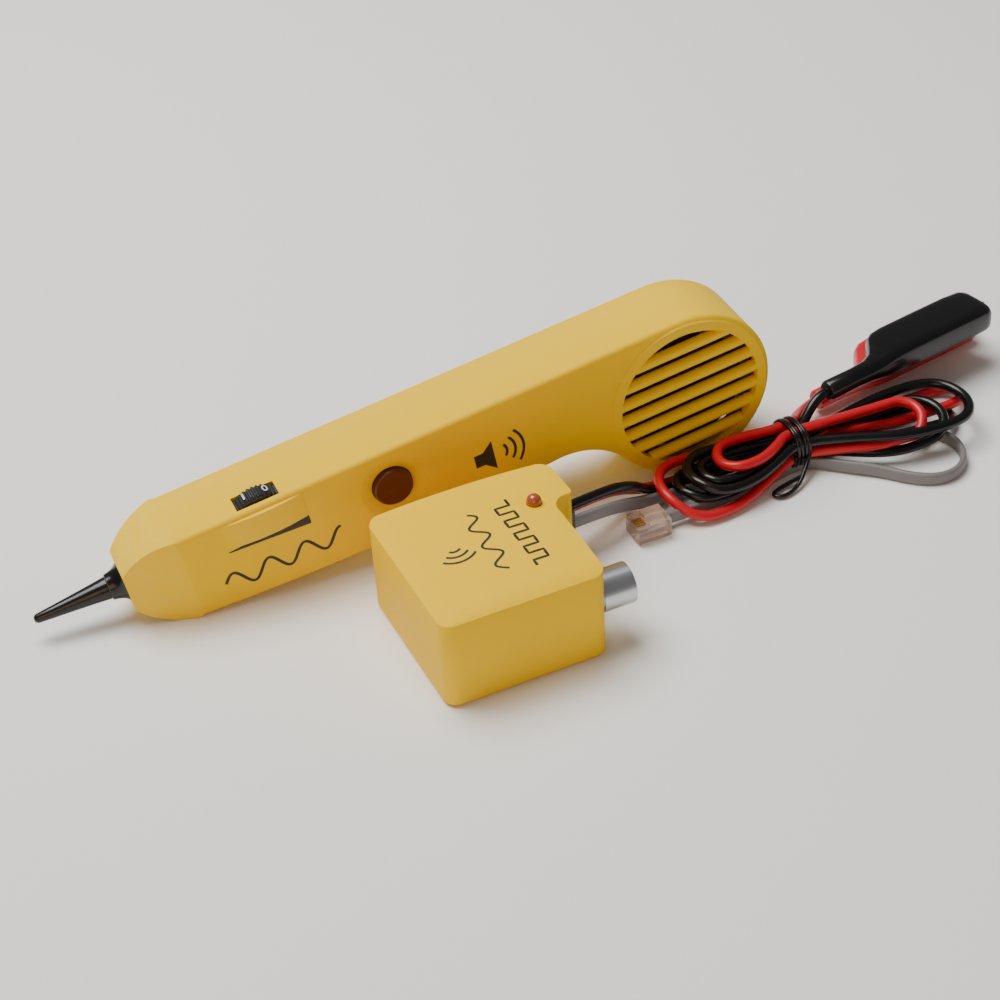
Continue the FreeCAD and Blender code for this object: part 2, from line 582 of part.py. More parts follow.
def volume_control(place):
    """The thumbwheel turns about Y; the pot behind it stands on the board."""
    x, z = "wheel_place", "wheel_high"
    back = "wheel_back + wheel_thick"
    disc = rod("wheel_disc", "wheel_radius", "wheel_thick", (x, "wheel_back", z), Y)
    hole = rod("wheel_hole", "shaft_radius + 0.02", "20", (x, "wheel_back - 5", z), Y)
    node("volume_wheel", cut("wheel", disc, hole), place)
    drum = rod("pot_drum", "pot_radius", "pot_thick", (x, f"{back} + 0.4", z), Y)
    shaft = rod("pot_shaft", "shaft_radius", "wheel_thick + 0.4 - 0.6", (x, "wheel_back + 0.6", z), Y)
    node("volume_pot", joined("pot", drum, shaft), place)


def push_button(place):
    """The button moves along +Y onto a tact switch on the board."""
    x, z = "button_place", "button_high"
    cap = rod("button_cap", "button_radius", "button_proud + probe_wall + 0.5", (x, "-button_proud", z), Y)
    flange = rod("button_flange", "button_radius + 1.4", "1", (x, "probe_wall + 0.4", z), Y)
    stem = rod("button_stem", "2.2", "button_depth - probe_wall - 0.4", (x, "probe_wall + 0.4", z), Y)
    node("listen_button", joined("button", cap, flange, stem), place)
    under = "button_depth + button_travel + 0.2"
    case = block("tact_case", "6", f"board_back - 0.05 - ({under})", "6",
                 ("button_place - 3", under, "button_high - 3"))
    node("button_switch", case, place)


def probe_board(place):
    plate = block("board_plate", "cell_place - stud_height - snap_thick - 4.5 - 63", "board_thick", "27",
                  ("63", "board_back", "-14.2"))
    node("probe_circuit_board", plate, place)
    chip = block("amp_chip", "10", "1.8", "6", ("98", "board_back - 1.85", "-4"))
    caps = [rod(f"can{i}", "2.5", "5", (x, "board_back - 5.05", z), Y)
            for i, (x, z) in enumerate(((97, 8), (109, -10.5)))]
    node("amplifier_parts", together("amplifier", chip, *caps), place)


def speaker(place):
    """A 50 mm speaker against the inside of the grille: basket, paper cone and magnet along +Y."""
    centre = bulb_centre()
    at = (centre.x, 0, centre.z)
    face = size("ridge_sink") + size("ridge_radius") + 0.5
    radius, lip, deep = size("speaker_radius"), size("speaker_lip"), size("speaker_deep")
    start = Vector(at[0], face, at[2])
    basket = Part.makeCylinder(radius, lip, start, Y)
    basket = basket.fuse(Part.makeCone(radius - 1.5, size("magnet_radius"), deep, start + Y * lip, Y))
    hollow = Part.makeCone(radius - 2.7, size("magnet_radius") - 1.2, deep + lip + 0.1, start - Y * 0.05, Y)
    node("speaker_frame", feature("basket", basket.cut(hollow)), place)
    paper = radius - 3.6
    cone = Part.makeCone(paper, size("cap_radius"), deep - 1.4, start + Y * 0.4, Y)
    inner_mouth = paper - size("cone_thick") * 1.8
    inner = Part.makeCone(inner_mouth, size("cap_radius") - 0.9, deep - 1.4, start + Y * 0.399, Y)
    dome = Part.makeCylinder(size("cap_radius"), 0.8, start + Y * (deep - 1.4), Y)
    node("speaker_cone", feature("cone", cone.cut(inner).fuse(dome)), place)
    magnet_at = start + Y * (lip + deep + 0.02)
    magnet = Part.makeCylinder(size("magnet_radius"), size("magnet_thick"), magnet_at, Y)
    node("speaker_magnet", feature("magnet", magnet), place)


def probe_fixings(place):
    screws = []
    for i, (x, z) in enumerate(PROBE_SCREWS):
        head = rod(f"probe_screw_head{i}", "screw_head", "head_thick - 0.2",
                   (x, "probe_thick - head_thick", z), Y)
        shank = rod(f"probe_screw_shank{i}", "screw_radius", "10", (x, "probe_thick - head_thick - 10", z), Y)
        screws.append(joined(f"probe_screw{i}", head, shank))
    node("probe_screws", together("probe_screw_set", *screws), place)


def probe_place():
    """The probe rests on its round end and on the curve under its nose, so its pitch follows from
    its outline."""
    centre, reach = bulb_centre(), size("bulb_radius")
    low = min(probe_outline().discretize(400), key=lambda p: p.z * math.cos(0.165) + p.x * math.sin(0.165)
              if p.x < size("belly_place") else 1e9)
    across, down = centre.x - low.x, centre.z - low.z
    pitch = math.asin(reach / math.hypot(across, down)) - math.atan2(down, across)
    lift = reach - centre.x * math.sin(pitch) - centre.z * math.cos(pitch)
    turn = Rotation(Z, size("probe_yaw")).multiply(Rotation(Y, -math.degrees(pitch)))
    print(f"probe pitch {math.degrees(pitch):.3f} lift {lift:.3f}")
    return Placement(Vector(size("probe_left"), size("probe_back"), lift + 0.02), turn)


def probe():
    place = probe_place()
    node("probe_front_shell", feature("front_shell", probe_front_shell()), place)
    node("probe_back_cover", feature("back_cover", probe_back_cover()), place)
    node("probe_battery_door", feature("battery_door", probe_battery_door()), place)
    nine_volt("probe", ("cell_place", "cell_back", "(probe_top - belly_low) / 2 - cell_width / 2 + 0.4"),
              "cell_thick", "cell_width", place)
    probe_tip_parts(place)
    volume_control(place)
    push_button(place)
    probe_board(place)
    speaker(place)
    probe_fixings(place)


# ---------------------------------------------------------------- leads and clips


def tube(label, radius):
    """A lead's plain solid: straight runs joined by tangent arcs, each as large as its runs allow."""
    route = [Vector(*p) for p in CORD_ROUTES[label]]
    edges, last, length = [], route[0], 0.0
    for before, point, after in zip(route, route[1:], route[2:]):
        start, middle, end, bend = corner(before, point, after)
        edges += [Part.LineSegment(last, start).toShape(), Part.Arc(start, middle, end).toShape()]
        print(f"{label} radius {bend:.1f}")
        last = end
    edges.append(Part.LineSegment(last, route[-1]).toShape())
    path = Part.Wire(edges)
    ring = Part.Wire(Part.Circle(route[0], route[1] - route[0], radius).toShape())
    solid = path.makePipeShell([ring], True, False)
    expected = math.pi * radius ** 2 * path.Length
    print(f"{label} length {path.Length:.1f} volume {solid.Volume:.0f} of {expected:.0f}")
    node(label, feature(label + "_tube", solid))


def leads():
    tube("black_lead", size("wire_radius"))
    tube("red_lead", size("wire_radius"))
    tube("grey_lead", size("flat_radius"))
    tube("grey_lead_loop", size("flat_radius"))
    lobes = None
    for x, y, half_x, half_y, high in HANK_LOBES:
        oval = Part.Ellipse(Vector(x, y, 0), half_x, half_y)
        lobe = slab(Part.Wire(oval.toShape()), Z * high)
        lobes = lobe if lobes is None else lobes.fuse(lobe)
    x, y, z, length, width, high = HANK_WAIST
    waist = Part.makeBox(length, width, high, Vector(x, y, z))
    width_tie, thick = size("tie_width"), size("tie_thick")
    band_at = Vector(TIE_PLACE, y - thick, z - thick)
    band = Part.makeBox(width_tie, width + 2 * thick, high + 2 * thick, band_at)
    lobes = lobes.fuse(waist).cut(band.cut(waist)).removeSplitter()
    node("lead_hank", feature("hank", lobes))
    node("twist_tie", feature("tie", band.cut(waist)))


def modular_plug():
    """The clear plug on the grey lead: body with a latch underneath, and its row of gilt blades."""
    x, y, z = PLUG_PLACE
    long, wide, thick = size("plug_length"), size("plug_width"), size("plug_thick")
    body = Part.makeBox(long, wide, thick, Vector(x - long / 2, y - wide / 2, z - thick / 2 + 0.6))
    comb = Vector(x - long / 2, y - wide / 2 + 1, z + thick / 2 - 0.6)
    body = body.cut(Part.makeBox(long * 0.4, wide - 2, 1.2, comb))
    latch = Part.makeBox(long - 1, 3.2, 0.9, Vector(x - long / 2 + 0.5, y - 1.6, z - thick / 2 - 0.3))
    body = body.fuse(latch).removeSplitter()
    blades = []
    pitch, gilt = size("blade_pitch"), size("blade_thick")
    for k in range(4):
        at = Vector(x - long / 2 + 0.4, y + (k - 1.5) * pitch - gilt / 2, z + thick / 2 - 2.4)
        blades.append(Part.makeBox(3.6, gilt, 2.4, at))
    for blade in blades:
        body = body.cut(blade)
    node("modular_plug", feature("plug", body))
    node("plug_contacts", feature("blades", Part.makeCompound(blades)))


def strip(points, thick, low, high):
    """A bent metal strip: its side profile, thickened upwards, between two heights."""
    lower = [Vector(x, y, low) for x, y in points]
    upper = [Vector(x, y + thick, low) for x, y in reversed(points)]
    return slab(Part.makePolygon(lower + upper + lower[:1]), Z * (high - low))


def clip_boot(wire):
    """The soft boot: a round tail for the lead, and a flat-sided body that is open at the mouth."""
    long, half = size("clip_length"), size("clip_thick") / 2
    tail, low, tall, wall = size("clip_tail"), -size("clip_low"), size("clip_tall"), size("boot_wall")

    def body(inset, mouth):
        points = [(tail - 3, low), (long + mouth, low + inset), (long + mouth, tall - inset)]
        points += [(tail + 9, tall - inset), (tail + 4, -low)]
        if inset:
            points = [(tail + 3.4, low + inset)] + points[1:3] + [(tail + 9.8, tall - inset), (tail + 5, 2.6)]
        radii = [1.0, 0.0 if mouth else 2.5, 0.0 if mouth else 3.5, 4.0, 3.0]
        ring = rounded_wire([(x, y, -half + inset) for x, y in points], radii)
        return slab(ring, Z * 2 * (half - inset))

    outside = body(0, 0)
    sides = edges_where(outside, lambda p: abs(abs(p.z) - half) < 1e-3)
    outside = outside.makeFillet(1.8, sides)
    outside = outside.fuse(Part.makeCylinder(size("tail_radius"), tail + 4, Vector(0, 0, 0), X))
    outside = outside.cut(body(wall, 6))
    return outside.cut(Part.makeCylinder(wire + 0.02, tail + 8, Vector(-1, 0, 0), X)).removeSplitter()


def clip(colour):
    """An alligator clip lying on its side: the upper jaw turns about the pin and the spring closes it."""
    place = Placement(Vector(*CLIP_PLACES[colour]), Rotation(Z, size("clip_yaw")))
    long, sheet_metal, half = size("clip_length"), size("jaw_sheet"), size("jaw_half")
    pivot = Vector(size("pivot_place"), 4.4, 0)
    tip = long + 2
    node(f"{colour}_clip_boot", feature(colour + "_boot", clip_boot(size("wire_radius"))), place)
    fixed = strip([(24.5, -2.6), (pivot.x + 8, -2.6), (tip - 8, 1.6), (tip, 2.4)], sheet_metal, -half, half)
    profile = [(31, 8.6), (pivot.x - 6, 6.6), (pivot.x + 6, 6.6), (tip - 8, 5.0), (tip, 3.7)]
    moving = strip(profile, sheet_metal, -half + 1, half - 1)
    for side in (-1, 1):
        outer = (half - sheet_metal) if side > 0 else -half
        inner = (half - 2 * sheet_metal - 0.2) if side > 0 else -half + sheet_metal + 0.2
        web = strip([(pivot.x - 6, -2.2), (pivot.x + 6, -2.2)], 4.6, outer, outer + sheet_metal)
        web = web.fuse(Part.makeCylinder(2.6, sheet_metal, Vector(pivot.x, pivot.y, outer)))
        fixed = fixed.fuse(web)
        ear = strip([(pivot.x - 5, 4.4), (pivot.x + 5, 4.4)], 2.6, inner, inner + sheet_metal)
        ear = ear.fuse(Part.makeCylinder(2.2, sheet_metal, Vector(pivot.x, pivot.y, inner)))
        moving = moving.fuse(ear)
    hole = Part.makeCylinder(size("pivot_radius") + size("pivot_gap"), 20, pivot - Z * 10)
    seat = Part.makeCylinder(size("pivot_radius"), 20, pivot - Z * 10)
    node(f"{colour}_clip_jaw", feature(colour + "_fixed_jaw", fixed.cut(seat).removeSplitter()), place)
    node(f"{colour}_clip_lever", feature(colour + "_moving_jaw", moving.cut(hole).removeSplitter()), place)
    pin = Part.makeCylinder(size("pivot_radius"), 2 * half + 1, pivot - Z * (half + 0.5))
    node(f"{colour}_clip_pin", feature(colour + "_pin", pin), place)
    coil = Part.makeCylinder(1.8, 2 * half - 4.6, pivot - Z * (half - 2.3)).cut(hole)
    node(f"{colour}_clip_spring", feature(colour + "_spring", coil), place)


def write():
    """Stop on any failed object, then write one STEP file for each sub-part."""
    doc.recompute()
    for piece in doc.Objects:
        if any(word in ("Invalid", "Error") for word in piece.State):
            raise RuntimeError(f"{piece.Name} ({piece.Label}) failed: {piece.State}")
    os.makedirs("parts", exist_ok=True)
    for label, piece in nodes.items():
        shape = piece.Shape
        if shape.isNull() or not shape.isValid() or not shape.Solids or shape.Volume <= 0:
            raise RuntimeError(f"{label} has no sound solid")
        shape.exportStep(f"parts/{label}.step")
    print(len(nodes), "sub-parts")


node("generator_top_shell", feature("top_shell", generator_top_shell()))
node("generator_base_cover", feature("base_cover", generator_base()))
generator_inside()
coax_socket()
mode_switch()
cable_gland()
generator_fixings()
probe()
leads()
modular_plug()
clip("black")
clip("red")
write()
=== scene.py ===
import json
import logging
import math
from collections.abc import Sequence
from dataclasses import dataclass, field
from enum import Enum

import bmesh
import bpy
from mathutils import Matrix, Vector


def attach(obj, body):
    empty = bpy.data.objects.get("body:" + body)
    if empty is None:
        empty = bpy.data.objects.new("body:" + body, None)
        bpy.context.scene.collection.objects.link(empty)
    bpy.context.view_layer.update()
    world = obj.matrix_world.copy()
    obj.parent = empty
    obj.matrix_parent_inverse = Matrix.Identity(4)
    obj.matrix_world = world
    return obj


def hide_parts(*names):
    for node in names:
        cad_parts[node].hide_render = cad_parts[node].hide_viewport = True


MM = 0.001
LOG = logging.getLogger("tone_probe_kit")
Point = tuple[float, float, float]
Flat = tuple[float, float]
Cell = tuple[int, ...]
Outline = tuple[list[Flat], list[Cell]]
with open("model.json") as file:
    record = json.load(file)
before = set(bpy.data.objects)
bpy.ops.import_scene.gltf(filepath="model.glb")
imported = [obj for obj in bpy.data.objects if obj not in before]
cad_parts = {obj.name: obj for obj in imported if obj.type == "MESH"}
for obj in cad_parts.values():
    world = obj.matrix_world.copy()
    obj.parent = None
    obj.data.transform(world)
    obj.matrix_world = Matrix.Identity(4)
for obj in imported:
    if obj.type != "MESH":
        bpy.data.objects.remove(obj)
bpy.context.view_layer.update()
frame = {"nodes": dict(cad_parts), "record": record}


class Body(Enum):
    GENERATOR = "generator"
    PROBE = "amplifier_probe"
    WHEEL = "volume_wheel"
    BUTTON = "listen_button"
    MODE = "mode_slider"


class Slot(Enum):
    """The record's material slots."""

    YELLOW = "yellow_plastic"
    RUBBER = "black_rubber"
    BLACK = "black_plastic"
    BLACK_WIRE = "black_wire"
    RED_WIRE = "red_wire"
    GREY_CORD = "grey_cord"
    MAROON = "maroon_plastic"
    LED = "led_plastic"
    SATIN = "satin_metal"
    GILT = "brass_metal"
    WHITE = "white_plastic"
    CLEAR = "clear_plastic"
    COPPER = "copper_jaw"
    STEEL = "steel"
    BOARD = "circuit_board"
    CELL = "battery_case"
    PAPER = "speaker_paper"


# ---------------------------------------------------------------- shader groups


class ShaderKit:
    """Builds the node groups that the finishes share, each once."""

    FINE_DETAIL = 3.0
    SLOW_DETAIL = 5.0
    SLOW_SCALE = 45.0
    WORN_FROM = 0.52
    WORN_TO = 0.64

    def __init__(self) -> None:
        """Make both groups."""
        self.grain = self._grain_group()
        self.wear = self._wear_group()

    @staticmethod
    def _sockets(tree: bpy.types.NodeTree, inputs: dict[str, float], outputs: list[str]) -> None:
        """Give a group its float inputs with defaults and its float outputs.

        Args:
            tree: the group.
            inputs: name and default of each input.
            outputs: name of each output.
        """
        for name, value in inputs.items():
            socket = tree.interface.new_socket(name, in_out="INPUT", socket_type="NodeSocketFloat")
            socket.default_value = value
        for name in outputs:
            tree.interface.new_socket(name, in_out="OUTPUT", socket_type="NodeSocketFloat")

    def _grain_group(self) -> bpy.types.NodeTree:
        """The fine grain of a moulded, drawn or woven surface.

        Returns:
            A group that puts out a height for a bump and a slow tone for colour and gloss.
        """
        tree = bpy.data.node_groups.new("surface_grain", "ShaderNodeTree")
        stretches = {"Scale": 900.0, "Stretch X": 1.0, "Stretch Y": 1.0, "Stretch Z": 1.0}
        self._sockets(tree, stretches, ["Height", "Tone"])
        make, link = tree.nodes.new, tree.links.new
        entry, leave = make("NodeGroupInput"), make("NodeGroupOutput")
        coords, mapping = make("ShaderNodeTexCoord"), make("ShaderNodeMapping")
        joiner = make("ShaderNodeCombineXYZ")
        fine, slow = make("ShaderNodeTexNoise"), make("ShaderNodeTexNoise")
        fine.inputs["Detail"].default_value = self.FINE_DETAIL
        slow.inputs["Scale"].default_value = self.SLOW_SCALE
        slow.inputs["Detail"].default_value = self.SLOW_DETAIL
        for axis in "XYZ":
            link(entry.outputs[f"Stretch {axis}"], joiner.inputs[axis])
        link(coords.outputs["Object"], mapping.inputs["Vector"])
        link(joiner.outputs["Vector"], mapping.inputs["Scale"])
        link(mapping.outputs["Vector"], fine.inputs["Vector"])
        link(coords.outputs["Object"], slow.inputs["Vector"])
        link(entry.outputs["Scale"], fine.inputs["Scale"])
        link(fine.outputs["Fac"], leave.inputs["Height"])
        link(slow.outputs["Fac"], leave.inputs["Tone"])
        return tree

    def _wear_group(self) -> bpy.types.NodeTree:
        """Handling wear along convex edges, broken up by noise.

        Returns:
            A group that puts out a mask from 0 to 1.
        """
        tree = bpy.data.node_groups.new("edge_wear", "ShaderNodeTree")
        self._sockets(tree, {"Amount": 0.3, "Break Up": 260.0}, ["Mask"])
        make, link = tree.nodes.new, tree.links.new
        entry, leave = make("NodeGroupInput"), make("NodeGroupOutput")
        shape, ramp = make("ShaderNodeNewGeometry"), make("ShaderNodeMapRange")
        coords, noise = make("ShaderNodeTexCoord"), make("ShaderNodeTexNoise")
        first, second = make("ShaderNodeMath"), make("ShaderNodeMath")
        first.operation = second.operation = "MULTIPLY"
        ramp.inputs["From Min"].default_value = self.WORN_FROM
        ramp.inputs["From Max"].default_value = self.WORN_TO
        link(shape.outputs["Pointiness"], ramp.inputs["Value"])
        link(coords.outputs["Object"], noise.inputs["Vector"])
        link(entry.outputs["Break Up"], noise.inputs["Scale"])
        link(ramp.outputs["Result"], first.inputs[0])
        link(noise.outputs["Fac"], first.inputs[1])
        link(first.outputs["Value"], second.inputs[0])
        link(entry.outputs["Amount"], second.inputs[1])
        link(second.outputs["Value"], leave.inputs["Mask"])
        return tree


COAT_ROUGHNESS = 0.12
GLOSS_SPREAD = 0.07
SMOOTHEST = 0.02
BUMP_REACH = 0.2 * MM


@dataclass(frozen=True)
class Finish:
    """One surface finish: its colour, gloss, grain and wear."""

    name: str
    color: Point
    roughness: float = 0.45
    metallic: float = 0.0
    coat: float = 0.0
    specular: float = 0.5
    clear: float = 0.0
    grain: float = 900.0
    depth: float = 0.05
    shade: float = 0.86
    wear: float = 0.25
    worn: Point = (0.8, 0.75, 0.6)
    stretch: Point = (1.0, 1.0, 1.0)

    def material(self, kit: ShaderKit) -> bpy.types.Material:
        """Build the finish as a node material.

        Args:
            kit: the shared groups.

        Returns:
            The material, made once and found again by its name.
        """
        found = bpy.data.materials.get(self.name)
        if found is not None:
            return found
        made = bpy.data.materials.new(self.name)
        made.use_nodes = True
        tree = made.node_tree
        make, link = tree.nodes.new, tree.links.new
        shader = tree.nodes["Principled BSDF"]
        shader.inputs["Metallic"].default_value = self.metallic
        shader.inputs["Coat Weight"].default_value = self.coat
        shader.inputs["Coat Roughness"].default_value = COAT_ROUGHNESS
        shader.inputs["Specular IOR Level"].default_value = self.specular
        shader.inputs["Transmission Weight"].default_value = self.clear
        grain, wear = make("ShaderNodeGroup"), make("ShaderNodeGroup")
        grain.node_tree, wear.node_tree = kit.grain, kit.wear
        grain.inputs["Scale"].default_value = self.grain
        for axis, value in zip("XYZ", self.stretch):
            grain.inputs[f"Stretch {axis}"].default_value = value
        wear.inputs["Amount"].default_value = self.wear
        tones, edges = make("ShaderNodeMix"), make("ShaderNodeMix")
        tones.data_type = edges.data_type = "RGBA"
        tones.inputs["A"].default_value = (*[c * self.shade for c in self.color], 1.0)
        tones.inputs["B"].default_value = (*self.color, 1.0)
        edges.inputs["B"].default_value = (*self.worn, 1.0)
        link(grain.outputs["Tone"], tones.inputs["Factor"])
        link(tones.outputs["Result"], edges.inputs["A"])
        link(wear.outputs["Mask"], edges.inputs["Factor"])
        link(edges.outputs["Result"], shader.inputs["Base Color"])
        gloss, bump = make("ShaderNodeMapRange"), make("ShaderNodeBump")
        gloss.inputs["To Min"].default_value = max(self.roughness - GLOSS_SPREAD, SMOOTHEST)
        gloss.inputs["To Max"].default_value = min(self.roughness + GLOSS_SPREAD, 1.0)
        bump.inputs["Strength"].default_value = self.depth
        bump.inputs["Distance"].default_value = BUMP_REACH
        link(grain.outputs["Tone"], gloss.inputs["Value"])
        link(gloss.outputs["Result"], shader.inputs["Roughness"])
        link(grain.outputs["Height"], bump.inputs["Height"])
        link(bump.outputs["Normal"], shader.inputs["Normal"])
        return made


YELLOW_WORN = (0.95, 0.80, 0.30)
FINISHES: dict[Slot, Finish] = {
    Slot.YELLOW: Finish("yellow_abs", (0.96, 0.60, 0.0), 0.52, specular=0.06, grain=1400.0, depth=0.10,
                        shade=0.93, worn=YELLOW_WORN),
    Slot.RUBBER: Finish("black_soft_vinyl", (0.004, 0.004, 0.0045), 0.25, coat=0.2, specular=0.35,
                        depth=0.05, wear=0.05),
    Slot.BLACK: Finish("black_abs", (0.018, 0.018, 0.018), 0.42, depth=0.10, wear=0.15, worn=(0.2, 0.2, 0.2)),
    Slot.BLACK_WIRE: Finish("black_wire_jacket", (0.004, 0.004, 0.0045), 0.27, coat=0.15,
                            specular=0.35, depth=0.04, wear=0.0),
    Slot.RED_WIRE: Finish("red_wire_jacket", (0.60, 0.008, 0.018), 0.36, coat=0.1,
                          specular=0.35, depth=0.04, wear=0.0),
    Slot.GREY_CORD: Finish("grey_flat_cord", (0.20, 0.185, 0.19), 0.42, depth=0.06, wear=0.0),
    Slot.MAROON: Finish("maroon_button", (0.105, 0.014, 0.006), 0.38, depth=0.06, worn=(0.3, 0.1, 0.06)),
    Slot.LED: Finish("led_lens", (0.50, 0.10, 0.035), 0.18, coat=0.6, clear=0.25, depth=0.01, wear=0.0),
    Slot.SATIN: Finish("satin_nickel", (0.62, 0.63, 0.65), 0.30, metallic=1.0, depth=0.10,
                       stretch=(0.05, 4.0, 4.0), worn=(0.8, 0.8, 0.8)),
    Slot.GILT: Finish("gilt_contact", (0.80, 0.52, 0.18), 0.25, metallic=1.0, depth=0.02),
    Slot.WHITE: Finish("white_insulator", (0.75, 0.73, 0.66), 0.4),
    Slot.CLEAR: Finish("clear_polycarbonate", (0.80, 0.60, 0.50), 0.08, clear=0.75, depth=0.01, wear=0.0),
    Slot.COPPER: Finish("copper_plate", (0.72, 0.30, 0.16), 0.28, metallic=1.0, depth=0.05),
    Slot.STEEL: Finish("zinc_steel", (0.50, 0.50, 0.50), 0.34, metallic=1.0, depth=0.06,
                       stretch=(1.0, 6.0, 1.0)),
    Slot.BOARD: Finish("green_solder_mask", (0.02, 0.14, 0.05), 0.35, coat=0.3),
    Slot.CELL: Finish("cell_jacket", (0.05, 0.05, 0.06), 0.3, metallic=0.6),
    Slot.PAPER: Finish("pressed_paper", (0.02, 0.02, 0.02), 0.9, grain=2500.0, depth=0.4, wear=0.0),
}
PRINT = Finish("black_print", (0.012, 0.010, 0.008), 0.5, grain=2500.0, depth=0.05, wear=0.0)
FLOOR = Finish("pale_paper", (0.92, 0.92, 0.92), 0.9, wear=0.0, shade=0.99, depth=0.0)
MARK = Finish("white_print", (0.75, 0.75, 0.72), 0.5, grain=2500.0, depth=0.05, wear=0.0)


# ---------------------------------------------------------------- mesh helpers


MERGE = 1e-7


def mesh_object(name: str, verts: list[Vector], faces: list[Cell], smooth: float = 40.0) -> bpy.types.Object:
    """Make a mesh piece whose edges stay sharp past an angle.

    Args:
        name: the piece's name.
        verts: places in metres.
        faces: indices into verts.
        smooth: degrees between faces up to which shading is smooth.

    Returns:
        The linked object.
    """
    mesh = bpy.data.meshes.new(name)
    mesh.from_pydata([tuple(v) for v in verts], [], faces)
    work = bmesh.new()
    work.from_mesh(mesh)
    bmesh.ops.remove_doubles(work, verts=work.verts, dist=MERGE)
    bmesh.ops.recalc_face_normals(work, faces=work.faces)
    work.to_mesh(mesh)
    work.free()
    mesh.shade_smooth()
    mesh.set_sharp_from_angle(angle=math.radians(smooth))
    piece = bpy.data.objects.new(name, mesh)
    bpy.context.scene.collection.objects.link(piece)
    return piece


def loft(name: str, rings: list[list[Vector]], closed: bool = False,
         smooth: float = 40.0) -> bpy.types.Object:
    """Skin a row of rings that have the same number of points.

    Args:
        name: the piece's name.
        rings: the rings in order.
        closed: whether the last ring joins the first; otherwise both ends are capped.
        smooth: shading angle in degrees.

    Returns:
        The piece.
    """
    count = len(rings[0])
    verts = [point for ring in rings for point in ring]
    faces: list[Cell] = []
    stretches = len(rings) if closed else len(rings) - 1
    for i in range(stretches):
        a, b = i * count, ((i + 1) % len(rings)) * count
        for k in range(count):
            after = (k + 1) % count
            faces.append((a + k, a + after, b + after, b + k))
    if not closed:
        faces.append(tuple(range(count)))
        faces.append(tuple((len(rings) - 1) * count + k for k in range(count)))
    return mesh_object(name, verts, faces, smooth)


def lathe(name: str, profile: list[Flat], place: Matrix, steps: int = 64,
          smooth: float = 40.0) -> bpy.types.Object:
    """Turn a profile about its own X axis.

    Args:
        name: the piece's name.
        profile: distance along the axis and radius, in mm, from one end to the other.
        place: from the lathe's axes (metres) to the frame.
        steps: points round the axis.
        smooth: shading angle in degrees.

    Returns:
        The piece.
    """
    rings = []
    for along, radius in profile:
        ring = []
        for k in range(steps):
            turn = 2 * math.pi * k / steps
            spot = Vector((along, radius * math.cos(turn), radius * math.sin(turn))) * MM
            ring.append(place @ spot)
        rings.append(ring)
    return loft(name, rings, smooth=smooth)


def stroke(points: list[Flat], width: float) -> Outline:
    """A flat band of even width along a line in a plane.

    Args:
        points: the line.
        width: the band's width.

    Returns:
        Points and faces in the plane.
    """
    flat: list[Flat] = []
    for i, (x, y) in enumerate(points):
        x0, y0 = points[max(i - 1, 0)]
        x1, y1 = points[min(i + 1, len(points) - 1)]
        size = math.hypot(x1 - x0, y1 - y0) or 1.0
        nx, ny = -(y1 - y0) / size * width / 2, (x1 - x0) / size * width / 2
        flat += [(x + nx, y + ny), (x - nx, y - ny)]
    faces = [(2 * i, 2 * i + 1, 2 * i + 3, 2 * i + 2) for i in range(len(points) - 1)]
    return flat, faces


def arc(centre: Flat, radius: float, start: float, sweep: float, steps: int = 12) -> list[Flat]:
    """Points along an arc in a plane.

    Args:
        centre: the arc's centre.
        radius: its radius.
        start: where it starts, in degrees.
        sweep: how far it goes, in degrees.
        steps: how many parts it has.

    Returns:
        The points in order.
    """
    turns = [math.radians(start + sweep * i / steps) for i in range(steps + 1)]
    return [(centre[0] + radius * math.cos(t), centre[1] + radius * math.sin(t)) for t in turns]


def nurbs(name: str, points: Sequence[Point], radius: float) -> bpy.types.Object:
    """A lead or a wire as one smooth open spline with a round section.

    Args:
        name: the piece's name.
        points: the route in mm.
        radius: the section's radius in mm; 0 leaves a bare line.

    Returns:
        The curve.
    """
    curve = bpy.data.curves.new(name, "CURVE")
    curve.dimensions = "3D"
    spline = curve.splines.new("NURBS")
    spline.points.add(len(points) - 1)
    for spot, (x, y, z) in zip(spline.points, points):
        spot.co = (x * MM, y * MM, z * MM, 1.0)
    spline.order_u = 3
    spline.use_endpoint_u = True
    spline.resolution_u = 10
    curve.bevel_depth = radius * MM
    curve.bevel_resolution = 6
    curve.use_fill_caps = True
    piece = bpy.data.objects.new(name, curve)
    bpy.context.scene.collection.objects.link(piece)
    return piece


def followed(route: Sequence[Point]) -> list[Vector]:
    """The points that the smooth line of a route passes through.

    Args:
        route: the route's control points in mm.

    Returns:
        The points in order, in metres.
    """
    line = nurbs("route_line", route, 0.0)
    bpy.context.view_layer.update()
    mesh = bpy.data.meshes.new_from_object(line.evaluated_get(bpy.context.evaluated_depsgraph_get()))
    points = [v.co.copy() for v in mesh.vertices]
    bpy.data.meshes.remove(mesh)
    bpy.data.objects.remove(line)
    return points


def run_length(points: list[Vector]) -> float:
    """The length along a row of points, in metres."""
    return sum((b - a).length for a, b in zip(points, points[1:]))


# ---------------------------------------------------------------- the makers


